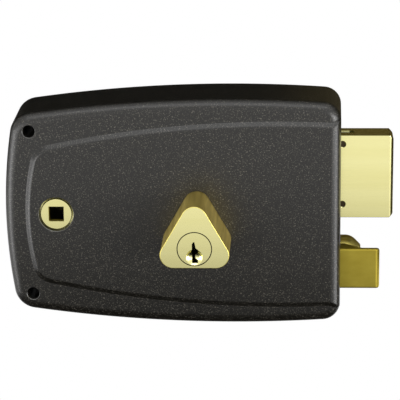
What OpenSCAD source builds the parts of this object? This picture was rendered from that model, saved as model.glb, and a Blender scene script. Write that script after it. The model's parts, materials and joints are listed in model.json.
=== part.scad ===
// Rim box lock: a cast case on the inner face of a door, with a key-thrown deadbolt,
// a spring latch drawn by a square spindle, and a guard plunger behind the latch.
// X runs towards the bolts, Z up, Y into the door. The case lies on the door at y = 0.

/* [Case] */
// Width of the case
case_w = 140; // [136:1:150]
// Height of the case at its tallest
case_h = 96.8; // [94:0.2:110]
// Depth from the door to the ledge round the panel
case_d = 31.5; // [31:0.1:36]
// How far the front panel stands above the ledge
panel_raise = 1.6; // [0.8:0.1:2.4]
// Wall thickness
wall = 2.5; // [2:0.1:3]
// Draft of the side walls, degrees
draft = 1; // [0.6:0.1:3]
// Rounding between sides and front
edge_r = 4.3; // [3:0.1:5]
// Radius of the long top and bottom arcs
arc_r = 590; // [500:5:900]
// Where the top and bottom arcs are tallest, from the middle
arc_x = 24; // [16:1:30]
// Radius of the bowed left end
end_r = 215; // [180:5:300]
// Corner radius at the left end
left_corner_r = 9.5; // [8:0.1:12]
// Corner radius at the bolt end
right_corner_r = 7.5; // [7:0.1:10]

/* [Panel] */
// Greatest height of the panel at its foot
panel_h = 80.9; // [76:0.1:84]
// How far the panel lies below the middle of the case
panel_drop = 0.5; // [0:0.1:1.5]
// Where the panel is tallest, from the middle
panel_arc_x = 44; // [36:1:52]
// Radius of the panel's long arcs
panel_arc_r = 460; // [400:5:560]
// Ledge width at the left end
ledge_w = 8.2; // [7:0.1:10]
// Radius of the panel's bowed left end
panel_end_r = 100; // [90:5:160]
// Corner radius of the panel's foot
panel_corner_r = 10; // [8:0.1:12]
// Width of the sloped border of the panel
ramp_w = 3.1; // [2.5:0.1:3.5]

/* [Fixings] */
// Fixing holes: distance from the left end
fixing_x = 11.4; // [10.5:0.1:14]
// Fixing holes: distance from the top and the bottom
fixing_down = 13.7; // [13:0.1:15.5]
// Fixing hole diameter
fixing_d = 5.2; // [4.2:0.1:5.6]
// Thickness of the back plate
plate_t = 2; // [1.5:0.1:2]
// Distance between the through-bolt nuts
nut_pitch = 36; // [34:0.5:40]
// Core diameter of the through-bolt thread
nut_core_d = 4.2; // [3.2:0.1:5]

/* [Follower] */
// Follower axis: distance from the left end
follower_x = 22; // [20:0.1:24]
// Diameter of the follower
follower_d = 13.2; // [12.4:0.1:14]
// Side of the spindle square
spindle = 6; // [5:0.1:7]
// Play between follower and cover
follower_gap = 0.6; // [0.4:0.1:0.9]
// Swing of the follower from rest to latch drawn, degrees
follower_swing = 50; // [40:1:56]

/* [Cylinder] */
// Plug axis: distance from the middle of the case
plug_x = 10.3; // [6:0.1:12]
// Plug axis: height from the middle of the case
plug_z = -7.6; // [-8.6:0.1:-7]
// How far the cylinder stands out of the panel
cylinder_out = 24.5; // [22:0.5:30]
// Corner radius of the triangle
tri_r = 5.4; // [5.2:0.1:5.8]
// Distance between the triangle's corner centres along its foot
tri_w = 17.2; // [16.8:0.1:18.4]
// Height from the triangle's foot centres to its top centre
tri_h = 14.9; // [14.6:0.1:15.6]
// Diameter of the plug's front disc
plug_face_d = 13.8; // [13.4:0.1:14]
// Diameter of the plug's barrel
plug_d = 12.8; // [12.2:0.1:12.8]
// Number of pin stacks
pin_count = 5; // [4:1:6]
// Distance between pin stacks
pin_pitch = 3.9; // [3.6:0.1:4]
// Pin diameter
pin_d = 2.6; // [2.2:0.1:2.8]

/* [Deadbolt] */
// Height of the bolt
bolt_h = 35; // [33:0.1:36]
// Thickness of the bolt
bolt_t = 14; // [13:0.1:15]
// How far the bolt stands out when thrown
bolt_out = 21.3; // [20.6:0.1:21.6]
// Top of the bolt above the middle of the case
bolt_top = 31; // [30.5:0.1:31.5]
// Door to the back of the bolt
bolt_back = 8; // [7.6:0.1:8.2]
// Thickness of the steel tail
tail_t = 4; // [3.5:0.1:4.2]
// Diameter of the bolt's cross pins
bolt_pin_d = 2.5; // [2:0.1:3]

/* [Latch] */
// Height of the latch
latch_h = 17.4; // [16.8:0.1:17.6]
// Foot of the latch above the bottom of the case
latch_rise = 14; // [13.6:0.1:14.4]
// Door to the front of the latch
latch_front = 24; // [23.8:0.1:24.6]
// Thickness of the latch at its root
latch_t = 9; // [8.6:0.1:9.2]
// Thickness of the latch at its nose
nose_t = 2.6; // [2:0.1:3]
// How far the latch stands out
latch_out = 16; // [15:0.1:16.5]
// Travel of the latch
latch_travel = 15.8; // [14:0.1:16]

/* [Guard plunger] */
// Diameter of the plunger
plunger_d = 11; // [10:0.1:11.2]
// How far the plunger stands out
plunger_out = 8.5; // [8.2:0.1:9.5]
// Rounding between the plunger's side and its cone
shoulder_r = 6; // [4:0.1:6.5]
// Travel of the plunger
plunger_travel = 8; // [6:0.1:8]

/* [Gears] */
// Teeth of the drive gear
drive_teeth = 12; // [12:1:13]
// Teeth of the reduction wheel
wheel_teeth = 22; // [21:1:23]
// Teeth of the rack pinion
pinion_teeth = 10; // [10:1:11]
// Module of the gear pair
gear_m = 1; // [0.96:0.01:1.04]
// Module of pinion and rack
rack_m = 1.25; // [1.2:0.01:1.3]
// Thinning of each tooth for backlash
backlash = 0.3; // [0.2:0.05:0.4]

/* [Hidden] */

$fn = 48;
// Gaps: a running fit, a snug press, a seat, and free air between pieces that pass each other
fit = 0.05;
snug = 0.01;
seat = 0.2;
free = 0.3;
// Cuts run past the faces that they open
past = 1;

// Colours of the finishes
paint = "#33322e";
polished = "#e2d890";
dull = "#9a8c3c";
steel = "#a9abac";
spring_steel = "#7d8084";

// Case levels along Y, which is negative in front of the door
half_w = case_w / 2;
half_h = case_h / 2;
ledge_y = -case_d;
panel_y = ledge_y - panel_raise;
roof_y = ledge_y + wall;
left_x = -half_w;
right_x = half_w;
slope = tan(draft);

// Places of the fixings, follower and plug
fix_x = left_x + fixing_x;
fix_z = half_h - fixing_down;
hub_x = left_x + follower_x;
boss_r = fixing_d / 2 + wall;
ramp_sunk = 0.5;
post_bore_r = 0.64 * wall;
post_r = post_bore_r + 0.8 * wall;
post_in = 45;
post_out = 10;
post_down = 8.9;
post_step = 1;
post_spots = [[left_x + post_in, half_h - post_down], [right_x - post_out, half_h - post_down - post_step]];
roof_corner = 4;
roof_draw = 1.5;
bore_short = 4;
side_cut = 4 * wall;
edge_turns = [0:22.5:90];

// Screws and nuts
head_r = 3;
head_h = 1.6;
head_sunk = 0.1;
plate_screw_l = 12;
nut_t = 2 * plate_t;
nut_r = nut_core_d / 2 + 2.7;

// Deadbolt and tail
bolt_front_y = -bolt_back - bolt_t;
bolt_bottom = bolt_top - bolt_h;
bolt_end = right_x + bolt_out;
bolt_root = bolt_out + 1.5;
bolt_rear = right_x - bolt_root;
tail_y = bolt_front_y + (bolt_t - tail_t) / 2;
tail_back_y = tail_y + tail_t;
bolt_pin_x = right_x + 0.02 * bolt_t;
bolt_pin_zs = [bolt_bottom + 0.163 * bolt_h, bolt_top - 0.106 * bolt_h];
bolt_corner = 1.5;
bolt_round = 1.6;
bolt_floor = 0.08 * bolt_h;
pin_sunk = 0.6;

// Gear train: drive gear on the plug axis, wheel up and to the left of it, rack above the pinion
drive_r = gear_m * drive_teeth / 2;
wheel_r = gear_m * wheel_teeth / 2;
pinion_r = rack_m * pinion_teeth / 2;
train_angle = 135;
wheel_x = plug_x + (drive_r + wheel_r) * cos(train_angle);
wheel_z = plug_z + (drive_r + wheel_r) * sin(train_angle);
rack_z = wheel_z + pinion_r;
pressure = 25;
gear_t = 4 * gear_m;
drive_hub_r = 4.6;
hub_shy = 0.3;
axle_r = plate_t;
axle_rim = axle_r;
axle_past = 2.4;
gear_gap = 0.3 * tail_t;
gear_y = tail_back_y + gear_gap;
rack_pitch = PI * rack_m;
bolt_travel = 2 * PI * drive_teeth / wheel_teeth * pinion_r;
addendum = 0.8;
dedendum = 1.1;
rack_reach = 8;
rack_sink = 0.01;

// Bolt guide posts stand in slots of the tail
guide_r = 0.75 * tail_t;
guide_up = 13.4;
guide_z = rack_z + guide_up;
guide_left = 9;
guide_right = 8;
guide_spots = [wheel_x - guide_left, plug_x + guide_right];
guide_play = 0.1;
guide_foot = plate_t;
guide_head = 1.5;
tail_rim = tail_t;
tail_left = guide_spots[0] - guide_r - tail_rim;
tail_low = 0.1 * tail_t;
tail_top = bolt_top - tail_low;
tail_step = 2;
tail_wide_x = bolt_rear + tail_step;
tail_end = bolt_pin_x + 0.75 * tail_t;
tail_slot_end = tail_end + 0.45 * tail_t;

// Cylinder: its rear end lies just in front of the bolt's tail
cyl_front_y = panel_y - cylinder_out;
cyl_gap = 1.5;
cyl_rear_y = tail_y - cyl_gap;
tri_foot = -tri_r / 2;
plug_r = plug_d / 2;
face_disc_t = 2;
plug_past = 1.7;
plug_rear_y = cyl_rear_y + plug_past;
flange_t = 1.2 * wall;
flange_grow = 3.5;
ear_r = 2 * wall;
ear_x = tri_w + 1.8;
ear_z = -4;
screw_r = 1.6;
screw_bite = 3;
ear_head_r = 3.5;
ear_head_h = 2.2;
pin_first = 6.5;
chamber_r = pin_d / 2 + fit;
rod_r = 1.6;
rod_up = 2.4;
rod_z = tri_foot + tri_h + rod_up;
rod_short = 3;
shear_gap = 0.15;
wire = 0.8;
spring_end = 0.05;
driver_l = 3;
key_pin_foot = 0.6;
clip_t = 1;
clip_grip = plug_r - 1;
clip_rim = 1.5;
clip_gap = 3;
clip_at = 0.3;
bar_w = 6;
bar_t = 1.8;
bar_in = 4;
bar_past = 1;
keyway_end = 6;
dish_r = 4.5;
dish_out = 3;
dish_z = -3.5;

// Follower: its arm hangs down and swings to either side of the vertical
hub_r = follower_d / 2;
hub_recess = 0.8;
journal_r = hub_r - 0.6;
hub_flange = 2.4;
hub_flange_t = 1.2 * wall;
core_r = 0.7 * hub_r;
core_front = spindle / 2;
core_back = 8;
arm_r = latch_travel / 2 / sin(follower_swing / 2);
arm_pin_r = 2.5;
arm_t = 1.5 * plate_t;
arm_w = 7;
arm_eye = 3;
arm_gap = 0.4;
arm_rest = follower_swing / 2;
arm_tip = [hub_x + arm_r * sin(arm_rest), -arm_r * cos(arm_rest)];

// Latch and drawbar
latch_y = -latch_front;
latch_back_y = latch_y + latch_t;
latch_bottom = latch_rise - half_h;
latch_top = latch_bottom + latch_h;
latch_end = right_x + latch_out;
latch_root = latch_travel + 4.2;
latch_rear = right_x - latch_root;
nose_l = 7;
bevel_l = 7;
nose_cut = 0.8;
bar_front_y = latch_y + 0.45 * latch_t;
drawbar_t = latch_t / 3;
drawbar_h = 5.5;
drawbar_z = latch_top - 0.414 * latch_h;
drawbar_end = latch_rear + 11;
draw_pin_r = 1.5;
draw_pin_x = drawbar_end - 4;
draw_pin_l = 0.8 * latch_t;
eye_half = 7;
eye_rise = 6.4;
eye_past = 1;
eye_slot_r = arm_pin_r + 0.25;
rod_y = latch_y + 0.61 * latch_t;
latch_rod_r = latch_h / 7;
latch_rod_z = latch_bottom + 0.184 * latch_h;
latch_rod_in = 8;
guide_run = 48;
guide_x = right_x - guide_run;
guide_t = 1.5 * plate_t;
guide_rim = 0.17 * latch_h;
guide_foot_l = 4 * guide_t;
latch_rod_left = guide_x - 4;
spring_r = latch_rod_r + 1.3;

// Guard plunger behind the latch
plunger_r = plunger_d / 2;
plunger_gap = 1.3;
plunger_y = latch_back_y + plunger_gap + plunger_r;
plunger_down = 4;
plunger_z = latch_top - plunger_down;
plunger_end = right_x + plunger_out;
plunger_root = 3 * plunger_travel;
plunger_rear = right_x - plunger_root;
collar_r = plunger_r + 0.5;
collar_t = 1.8;
nose_r = 1.4;
cone = 45;
saddle_low = 1.8;
saddle_y = plunger_y - plunger_r + saddle_low;
saddle_l = 10;
saddle_rim = plate_t;
stop_t = 1.5 * plate_t;
pocket_r = 0.62 * plunger_r;
pocket_l = 2 * plunger_travel;
spring_play = 0.3;

// Points on an arc from angle a to angle b
function arc(c, r, a, b, n) = [for (i = [0:n]) c + r * [cos(a + (b - a) * i / n), sin(a + (b - a) * i / n)]];

// Direction of a vector in degrees
function heading(v) = atan2(v[1], v[0]);

// Centre of a round corner that touches the long arc and the bowed end from inside
function corner_left(top, r, big_r, big_x, bow_r, bow_x) =
    let (a = [big_x, top - big_r], b = [bow_x + bow_r, 0], ra = big_r - r, rb = bow_r - r)
    let (v = b - a, d = norm(v), along = (ra * ra - rb * rb + d * d) / (2 * d))
    let (side = sqrt(ra * ra - along * along))
    a + along * v / d + side * [-v[1], v[0]] / d;

// Centre of a round corner that touches the long arc and the straight bolt side
function corner_right(top, r, big_r, big_x, side_x) =
    [side_x - r, top - big_r + sqrt(pow(big_r - r, 2) - pow(side_x - r - big_x, 2))];

// Upper half of the case outline, drawn in by an inset, from the bolt side to the left end
function case_top(inset) =
    let (cl = corner_left(half_h, left_corner_r, arc_r, arc_x, end_r, left_x))
    let (cr = corner_right(half_h, right_corner_r, arc_r, arc_x, right_x))
    let (c = [arc_x, half_h - arc_r], e = [left_x + end_r, 0])
    concat(arc(cr, right_corner_r - inset, 0, heading(cr - c), 5),
        arc(c, arc_r - inset, heading(cr - c) + 0.6, heading(cl - c) - 0.6, 8),
        arc(cl, left_corner_r - inset, heading(cl - c), heading(cl - e), 6),
        arc(e, end_r - inset, heading(cl - e) + 1, 179, 4));

// Upper half of the panel outline; side_x is where it stops at the bolt side
function panel_top(inset, side_x) =
    let (bow_x = left_x + ledge_w)
    let (cl = corner_left(panel_h / 2, panel_corner_r, panel_arc_r, panel_arc_x, panel_end_r, bow_x))
    let (c = [panel_arc_x, panel_h / 2 - panel_arc_r], e = [bow_x + panel_end_r, 0])
    let (first = acos((side_x - panel_arc_x) / (panel_arc_r - inset)))
    concat(arc(c, panel_arc_r - inset, first, heading(cl - c) - 0.6, 10),
        arc(cl, panel_corner_r - inset, heading(cl - c), heading(cl - e), 6),
        arc(e, panel_end_r - inset, heading(cl - e) + 1, 179, 4));

// Closes an upper half outline with its mirror image below
function whole(half) = concat(half, [for (i = [len(half) - 1:-1:0]) [half[i][0], -half[i][1]]]);

// Inset of the case side at a depth: the draft, and the rounding near a front at depth front
function side_inset(depth, front) =
    let (into = depth - (front - edge_r))
    depth * slope + (into > 0 ? edge_r - sqrt(max(0, edge_r * edge_r - into * into)) : 0);

// Inset of the panel's border at a depth, and where the panel stops at the bolt side
function ramp_inset(depth) = max(-ramp_sunk, depth - case_d) / panel_raise * ramp_w;
function panel_side(depth) =
    right_x - side_inset(depth, -panel_y) - (depth < -panel_y - edge_r ? seat : 0);

// A flat shape in the XZ plane, standing from y towards the viewer
module plate(y, thickness) translate([0, y, 0]) rotate([90, 0, 0]) linear_extrude(thickness) children();

// A round bar along Y, from y towards the viewer
module bar_y(x, z, r, y, length) translate([x, y, z]) rotate([90, 0, 0]) cylinder(r = r, h = length);

// A round bar along X, from x towards the bolts
module bar_x(x, y, z, r, length) translate([x, y, z]) rotate([0, 90, 0]) cylinder(r = r, h = length);

// A box between two corners
module block(low, high) translate(low) cube(high - low);

// A solid through a row of outlines with equally many points, each at its own depth from the door
module loft(depths, outlines) {
    n = len(outlines[0]);
    last = len(outlines) - 1;
    sides = [for (i = [0:last - 1], j = [0:n - 1]) let (k = (j + 1) % n, a = i * n, b = a + n)
        each [[b + j, b + k, a + k], [b + j, a + k, a + j]]];
    caps = [[for (j = [0:n - 1]) j], [for (j = [n - 1:-1:0]) last * n + j]];
    points = [for (i = [0:last]) each [for (p = outlines[i]) [p[0], -depths[i], p[1]]]];
    polyhedron(points, concat(caps, sides));
}

// Corner centres of the rounded triangle about the plug axis, and the direction that its right side faces
tri_corners = [[tri_w / 2, tri_foot], [0, tri_foot + tri_h], [-tri_w / 2, tri_foot]];
tri_facing = 90 - atan2(tri_h, tri_w / 2);

// The rounded triangle itself, its corners grown by an amount
module triangle(grow) {
    r = tri_r + grow;
    out = r * [cos(tri_facing), sin(tri_facing)];
    back = [-out[0], out[1]];
    down = [0, -r];
    translate([plug_x, plug_z]) {
        for (c = tri_corners) translate(c) circle(r);
        polygon([tri_corners[2] + down, tri_corners[0] + down, tri_corners[0] + out, tri_corners[1] + out,
            tri_corners[1] + back, tri_corners[2] + back]);
    }
}

// The opening that the triangle passes through, with its corners in short straight steps
module triangle_hole(gap) {
    turns = [[-90, tri_facing], [tri_facing, 180 - tri_facing], [180 - tri_facing, 270]];
    translate([plug_x, plug_z])
        polygon([for (i = [0:2]) each arc(tri_corners[i], tri_r + gap, turns[i][0], turns[i][1], 10)]);
}

// Involute flank points of a gear tooth, as polar angle and radius, from root to tip
function involute(r) = r > 1 ? sqrt(r * r - 1) * 180 / PI - acos(1 / r) : 0;
function tooth_half(r, base, half) = half - involute(max(r / base, 1));
function gear_points(m, teeth) =
    let (pitch = m * teeth / 2, base = pitch * cos(pressure))
    let (tip = pitch + addendum * m, root = pitch - dedendum * m, steps = 4)
    let (thin = backlash / 2 / pitch * 180 / PI)
    let (half = 90 / teeth - thin + involute(1 / cos(pressure)))
    let (flank = [for (i = [0:steps]) base + (tip - base) * i / steps])
    [for (k = [0:teeth - 1]) each concat(
        [let (a = k * 360 / teeth - half) root * [cos(a), sin(a)]],
        [for (r = flank) let (a = k * 360 / teeth - tooth_half(r, base, half)) r * [cos(a), sin(a)]],
        [for (i = [steps:-1:0]) let (r = flank[i], a = k * 360 / teeth + tooth_half(r, base, half))
            r * [cos(a), sin(a)]],
        [let (a = k * 360 / teeth + half) root * [cos(a), sin(a)]])];

// A gear in the XZ plane, with a tooth pointing along an angle
module gear(m, teeth, x, z, angle) translate([x, z]) rotate(angle) polygon(gear_points(m, teeth));

module case_cover() {
    body_depths = concat([0], [for (a = edge_turns) case_d - edge_r * (1 - sin(a))]);
    panel_depths = [case_d - edge_r - 2 * past, -panel_y - edge_r, case_d - ramp_sunk,
        case_d + panel_raise / 2, -panel_y];
    inner_depths = [-past, case_d - wall - roof_corner, case_d - wall];
    inner_draw = [0, 0, roof_draw];
    post_l = case_d - plate_t - wall;
    color(paint) difference() {
        union() {
            difference() {
                union() {
                    loft(body_depths, [for (d = body_depths) whole(case_top(side_inset(d, case_d)))]);
                    translate([0, 0, -panel_drop])
                        loft(panel_depths, [for (d = panel_depths)
                            whole(panel_top(ramp_inset(d), panel_side(d)))]);
                }
                loft(inner_depths, [for (i = [0:2])
                    whole(case_top(wall + inner_draw[i] + max(0, inner_depths[i]) * slope))]);
            }
            for (s = [-1, 1]) {
                bar_y(fix_x, s * fix_z, boss_r, -plate_t - seat, post_l);
                for (p = post_spots) bar_y(p[0], s * p[1], post_r, -plate_t - seat, post_l);
            }
        }
        for (s = [-1, 1]) {
            bar_y(fix_x, s * fix_z, fixing_d / 2, past, case_d + panel_raise + 2 * past);
            for (p = post_spots) bar_y(p[0], s * p[1], post_bore_r, past, case_d - bore_short);
            bar_y(plug_x + s * ear_x, plug_z + ear_z, screw_r, roof_y + past, screw_bite + seat + past);
        }
        bar_y(hub_x, 0, hub_r + follower_gap, roof_y + past, wall + panel_raise + 2 * past);
        plate(roof_y + past, wall + panel_raise + 2 * past) triangle_hole(2 * fit);
        block([right_x - side_cut, bolt_front_y - free, bolt_bottom - free],
            [right_x + past, -bolt_back + free, bolt_top + free]);
        block([right_x - side_cut, latch_y - free, latch_bottom - free],
            [right_x + past, latch_back_y + free, latch_top + free]);
        bar_x(right_x - side_cut, plunger_y, plunger_z, plunger_r + free, side_cut + past);
    }
}

module back_plate() {
    color(steel) difference() {
        plate(0, plate_t) polygon(whole(case_top(wall + seat)));
        for (s = [-1, 1]) {
            bar_y(fix_x, s * fix_z, fixing_d / 2, past, plate_t + 2 * past);
            bar_y(plug_x + s * nut_pitch / 2, plug_z, nut_core_d / 2, past, plate_t + 2 * past);
            for (p = post_spots) plate_screw(p[0], s * p[1], seat / 2);
        }
        bar_y(hub_x, 0, journal_r + fit, past, plate_t + 2 * past);
        bar_y(plug_x, plug_z, drive_hub_r + fit, past, plate_t + 2 * past);
        bar_y(wheel_x, wheel_z, axle_r, past, plate_t + 2 * past);
        for (x = guide_spots) bar_y(x, guide_z, guide_r, past, plate_t + 2 * past);
    }
}

// Countersunk screw through the back plate, grown by an amount to cut its seat
module plate_screw(x, z, grow) {
    translate([x, grow - head_sunk, z]) rotate([90, 0, 0]) {
        cylinder(r1 = head_r + grow, r2 = post_bore_r + grow, h = head_h);
        cylinder(r = post_bore_r - snug + grow, h = plate_screw_l);
    }
}

module plate_screws() {
    color(steel) for (s = [-1, 1], p = post_spots) plate_screw(p[0], s * p[1], 0);
}

module through_bolt_nuts() {
    color(steel) for (s = [-1, 1]) difference() {
        plate(-plate_t, nut_t) translate([plug_x + s * nut_pitch / 2, plug_z]) circle(r = nut_r, $fn = 6);
        bar_y(plug_x + s * nut_pitch / 2, plug_z, nut_core_d / 2, past, case_d);
    }
}

module cylinder_body() {
    color(polished) difference() {
        union() {
            plate(cyl_rear_y, cyl_rear_y - cyl_front_y) triangle(0);
            plate(roof_y + flange_t, flange_t) {
                triangle(flange_grow);
                for (e = [-1, 1]) translate([plug_x + e * ear_x, plug_z + ear_z]) circle(ear_r);
                translate([plug_x - ear_x, plug_z + ear_z - ear_r]) square([2 * ear_x, 2 * ear_r]);
            }
        }
        bar_y(plug_x, plug_z, plug_r + fit, cyl_rear_y + past, cyl_rear_y - cyl_front_y + 2 * past);
        bar_y(plug_x, plug_z, plug_face_d / 2 + fit, cyl_front_y + face_disc_t + fit, face_disc_t + past);
        bar_y(plug_x, plug_z + rod_z, rod_r, cyl_rear_y + past, cyl_rear_y - cyl_front_y - rod_short + past);
        pin_stack() translate([0, 0, plug_z]) cylinder(r = chamber_r, h = rod_z);
        for (e = [-1, 1])
            bar_y(plug_x + e * ear_x, plug_z + ear_z, screw_r + seat, roof_y + flange_t + past,
                flange_t + 2 * past);
    }
}

// Places what it is given at each pin stack, on the plug axis
module pin_stack() {
    for (i = [0:pin_count - 1]) translate([plug_x, cyl_front_y + pin_first + i * pin_pitch, 0]) children();
}

module cylinder_screws() {
    color(steel) for (e = [-1, 1]) {
        bar_y(plug_x + e * ear_x, plug_z + ear_z, screw_r - snug, roof_y + flange_t, flange_t + screw_bite);
        bar_y(plug_x + e * ear_x, plug_z + ear_z, ear_head_r, roof_y + flange_t + ear_head_h, ear_head_h);
    }
}

module driver_pins() {
    color(steel) pin_stack() translate([0, 0, plug_z + plug_r + shear_gap]) cylinder(d = pin_d, h = driver_l);
}

module pin_springs() {
    low = plug_z + plug_r + shear_gap + driver_l;
    color(spring_steel) pin_stack() translate([0, 0, low]) difference() {
        cylinder(d = pin_d - seat, h = plug_z + rod_z - rod_r - low - spring_end);
        translate([0, 0, -past]) cylinder(d = pin_d - wire, h = rod_z);
    }
}

module chamber_rod() {
    length = cyl_rear_y - cyl_front_y - rod_short - seat;
    color(polished) bar_y(plug_x, plug_z + rod_z, rod_r - snug, cyl_rear_y, length);
}

module bolt_guide_posts() {
    color(steel) for (x = guide_spots) {
        bar_y(x, guide_z, guide_r - snug, 0, -tail_y + free);
        bar_y(x, guide_z, guide_r + guide_foot, -plate_t, -tail_back_y - plate_t - free);
        bar_y(x, guide_z, guide_r + guide_head, tail_y - free, guide_head);
    }
}

module gear_axle() {
    color(steel) bar_y(wheel_x, wheel_z, axle_r - snug, 0, -tail_y + axle_past);
}

module axle_clip() {
    color(spring_steel) difference() {
        bar_y(wheel_x, wheel_z, axle_r + axle_rim, tail_y - free, clip_t);
        bar_y(wheel_x, wheel_z, axle_r, past, case_d);
    }
}

module latch_guide() {
    top = drawbar_z + drawbar_h / 2 + guide_rim;
    bottom = latch_rod_z - latch_rod_r - guide_rim;
    color(steel) difference() {
        union() {
            block([guide_x, latch_y, bottom], [guide_x + guide_t, -plate_t, top]);
            block([guide_x, -2 * plate_t, bottom], [guide_x + guide_foot_l, -plate_t, top]);
        }
        bar_x(guide_x - past, rod_y, latch_rod_z, latch_rod_r + fit, guide_t + 2 * past);
        block([guide_x - past, bar_front_y - free, drawbar_z - drawbar_h / 2 - free],
            [guide_x + guide_t + past, bar_front_y + drawbar_t + free, drawbar_z + drawbar_h / 2 + free]);
    }
}

module plunger_guide() {
    wall_x = plunger_rear - plunger_travel - free;
    saddle_x = plunger_rear + collar_t + free;
    half = collar_r + free + saddle_rim;
    rail = half - saddle_rim / 2;
    color(steel) difference() {
        union() {
            block([saddle_x, saddle_y, plunger_z - half], [saddle_x + saddle_l, -plate_t, plunger_z + half]);
            block([wall_x - stop_t, saddle_y, plunger_z - half], [wall_x, -plate_t, plunger_z + half]);
            for (s = [-1, 1])
                block([wall_x - stop_t, -2 * plate_t, plunger_z + s * rail - saddle_rim / 2],
                    [saddle_x + saddle_l, -plate_t, plunger_z + s * rail + saddle_rim / 2]);
        }
        bar_x(saddle_x - past, plunger_y, plunger_z, plunger_r + fit, saddle_l + 2 * past);
    }
}

module latch_spring() {
    left = guide_x + guide_t;
    color(spring_steel) difference() {
        bar_x(left + spring_end, rod_y, latch_rod_z, spring_r, latch_rear - left - 2 * spring_end);
        bar_x(left - past, rod_y, latch_rod_z, spring_r - wire, latch_rear - left + 2 * past);
    }
}

module plunger_spring() {
    left = plunger_rear - plunger_travel - free;
    length = plunger_rear + pocket_l - left;
    color(spring_steel) difference() {
        bar_x(left + spring_end, plunger_y, plunger_z, pocket_r - spring_play, length - 2 * spring_end);
        bar_x(left - past, plunger_y, plunger_z, pocket_r - spring_play - wire, length + 2 * past);
    }
}

module deadbolt_head() {
    flat = bolt_end - bolt_round;
    color(polished) difference() {
        intersection() {
            plate(-bolt_back, bolt_t) polygon([[bolt_rear, bolt_bottom],
                [bolt_end - bolt_corner, bolt_bottom], [bolt_end, bolt_bottom + bolt_corner],
                [bolt_end, bolt_top - bolt_corner], [bolt_end - bolt_corner, bolt_top],
                [bolt_rear, bolt_top]]);
            translate([0, 0, bolt_bottom]) linear_extrude(bolt_h) {
                translate([bolt_rear, bolt_front_y]) square([flat - bolt_rear, bolt_t]);
                translate([bolt_rear, bolt_front_y + bolt_round])
                    square([bolt_end - bolt_rear, bolt_t - 2 * bolt_round]);
                for (y = [bolt_front_y + bolt_round, -bolt_back - bolt_round])
                    translate([flat, y]) circle(bolt_round);
            }
        }
        block([bolt_rear - past, tail_y - fit, bolt_bottom + bolt_floor],
            [tail_slot_end, tail_back_y + fit, bolt_top + past]);
        for (z = bolt_pin_zs) bar_y(bolt_pin_x, z, bolt_pin_d / 2, -bolt_back + past, bolt_t + 2 * past);
    }
}

module deadbolt_tail() {
    root_z = rack_z + dedendum * rack_m;
    tip_z = rack_z - addendum * rack_m;
    tail_foot = bolt_bottom + bolt_floor + seat;
    half_root = rack_pitch / 4 - backlash / 2 + dedendum * rack_m * tan(pressure);
    half_tip = rack_pitch / 4 - backlash / 2 - addendum * rack_m * tan(pressure);
    slot_r = guide_r + guide_play;
    first = floor(-rack_reach / rack_pitch);
    last = ceil((bolt_travel + rack_reach) / rack_pitch);
    color(steel) difference() {
        plate(tail_back_y, tail_t) {
            translate([tail_left, root_z]) square([tail_end - tail_left, tail_top - root_z]);
            translate([tail_wide_x, tail_foot]) square([tail_end - tail_wide_x, tail_top - tail_foot]);
            for (k = [first:last]) translate([wheel_x + k * rack_pitch, 0])
                polygon([[-half_root, root_z + rack_sink], [-half_tip, tip_z], [half_tip, tip_z],
                    [half_root, root_z + rack_sink]]);
        }
        for (x = guide_spots) {
            block([x, tail_y - past, guide_z - slot_r],
                [x + bolt_travel, tail_back_y + past, guide_z + slot_r]);
            for (e = [0, bolt_travel]) bar_y(x + e, guide_z, slot_r, tail_back_y + past, tail_t + 2 * past);
        }
        for (z = bolt_pin_zs) bar_y(bolt_pin_x, z, bolt_pin_d / 2, tail_back_y + past, tail_t + 2 * past);
    }
}

module bolt_pins() {
    color(steel) for (z = bolt_pin_zs)
        bar_y(bolt_pin_x, z, bolt_pin_d / 2 - snug, -bolt_back - pin_sunk, bolt_t - 2 * pin_sunk);
}

module latch_bolt() {
    nose_x = latch_end - nose_l;
    color(dull) difference() {
        translate([0, 0, latch_bottom]) linear_extrude(latch_h) polygon([[latch_rear, latch_y],
            [latch_end - nose_cut, latch_y], [latch_end, latch_y + nose_cut], [latch_end, latch_y + nose_t],
            [nose_x, latch_y + nose_t], [nose_x - bevel_l, latch_back_y], [latch_rear, latch_back_y]]);
        block([latch_rear - past, bar_front_y - fit, drawbar_z - drawbar_h / 2 - fit],
            [drawbar_end + seat, bar_front_y + drawbar_t + fit, drawbar_z + drawbar_h / 2 + fit]);
        bar_x(latch_rear - past, rod_y, latch_rod_z, latch_rod_r, latch_rod_in + past);
        bar_y(draw_pin_x, drawbar_z, draw_pin_r, latch_back_y + past, draw_pin_l + seat + past);
    }
}

module latch_rod() {
    length = latch_rear + latch_rod_in - seat - latch_rod_left;
    color(steel) bar_x(latch_rod_left, rod_y, latch_rod_z, latch_rod_r - snug, length);
}

module latch_drawbar() {
    eye_top = arm_tip[1] + eye_rise;
    low = drawbar_z - drawbar_h / 2;
    slot_low = -arm_r - eye_past;
    slot_high = arm_tip[1] + eye_past;
    color(steel) difference() {
        plate(bar_front_y + drawbar_t, drawbar_t) {
            translate([arm_tip[0] - eye_half, low]) square([drawbar_end - arm_tip[0] + eye_half, drawbar_h]);
            translate([arm_tip[0] - eye_half, low]) square([2 * eye_half, eye_top - low]);
        }
        plate(bar_front_y + drawbar_t + past, drawbar_t + 2 * past) {
            translate([arm_tip[0] - eye_slot_r, slot_low]) square([2 * eye_slot_r, slot_high - slot_low]);
            for (z = [slot_low, slot_high]) translate([arm_tip[0], z]) circle(eye_slot_r);
        }
        bar_y(draw_pin_x, drawbar_z, draw_pin_r, past, case_d);
    }
}

module drawbar_pin() {
    color(steel) bar_y(draw_pin_x, drawbar_z, draw_pin_r - snug, latch_back_y, draw_pin_l);
}

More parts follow.
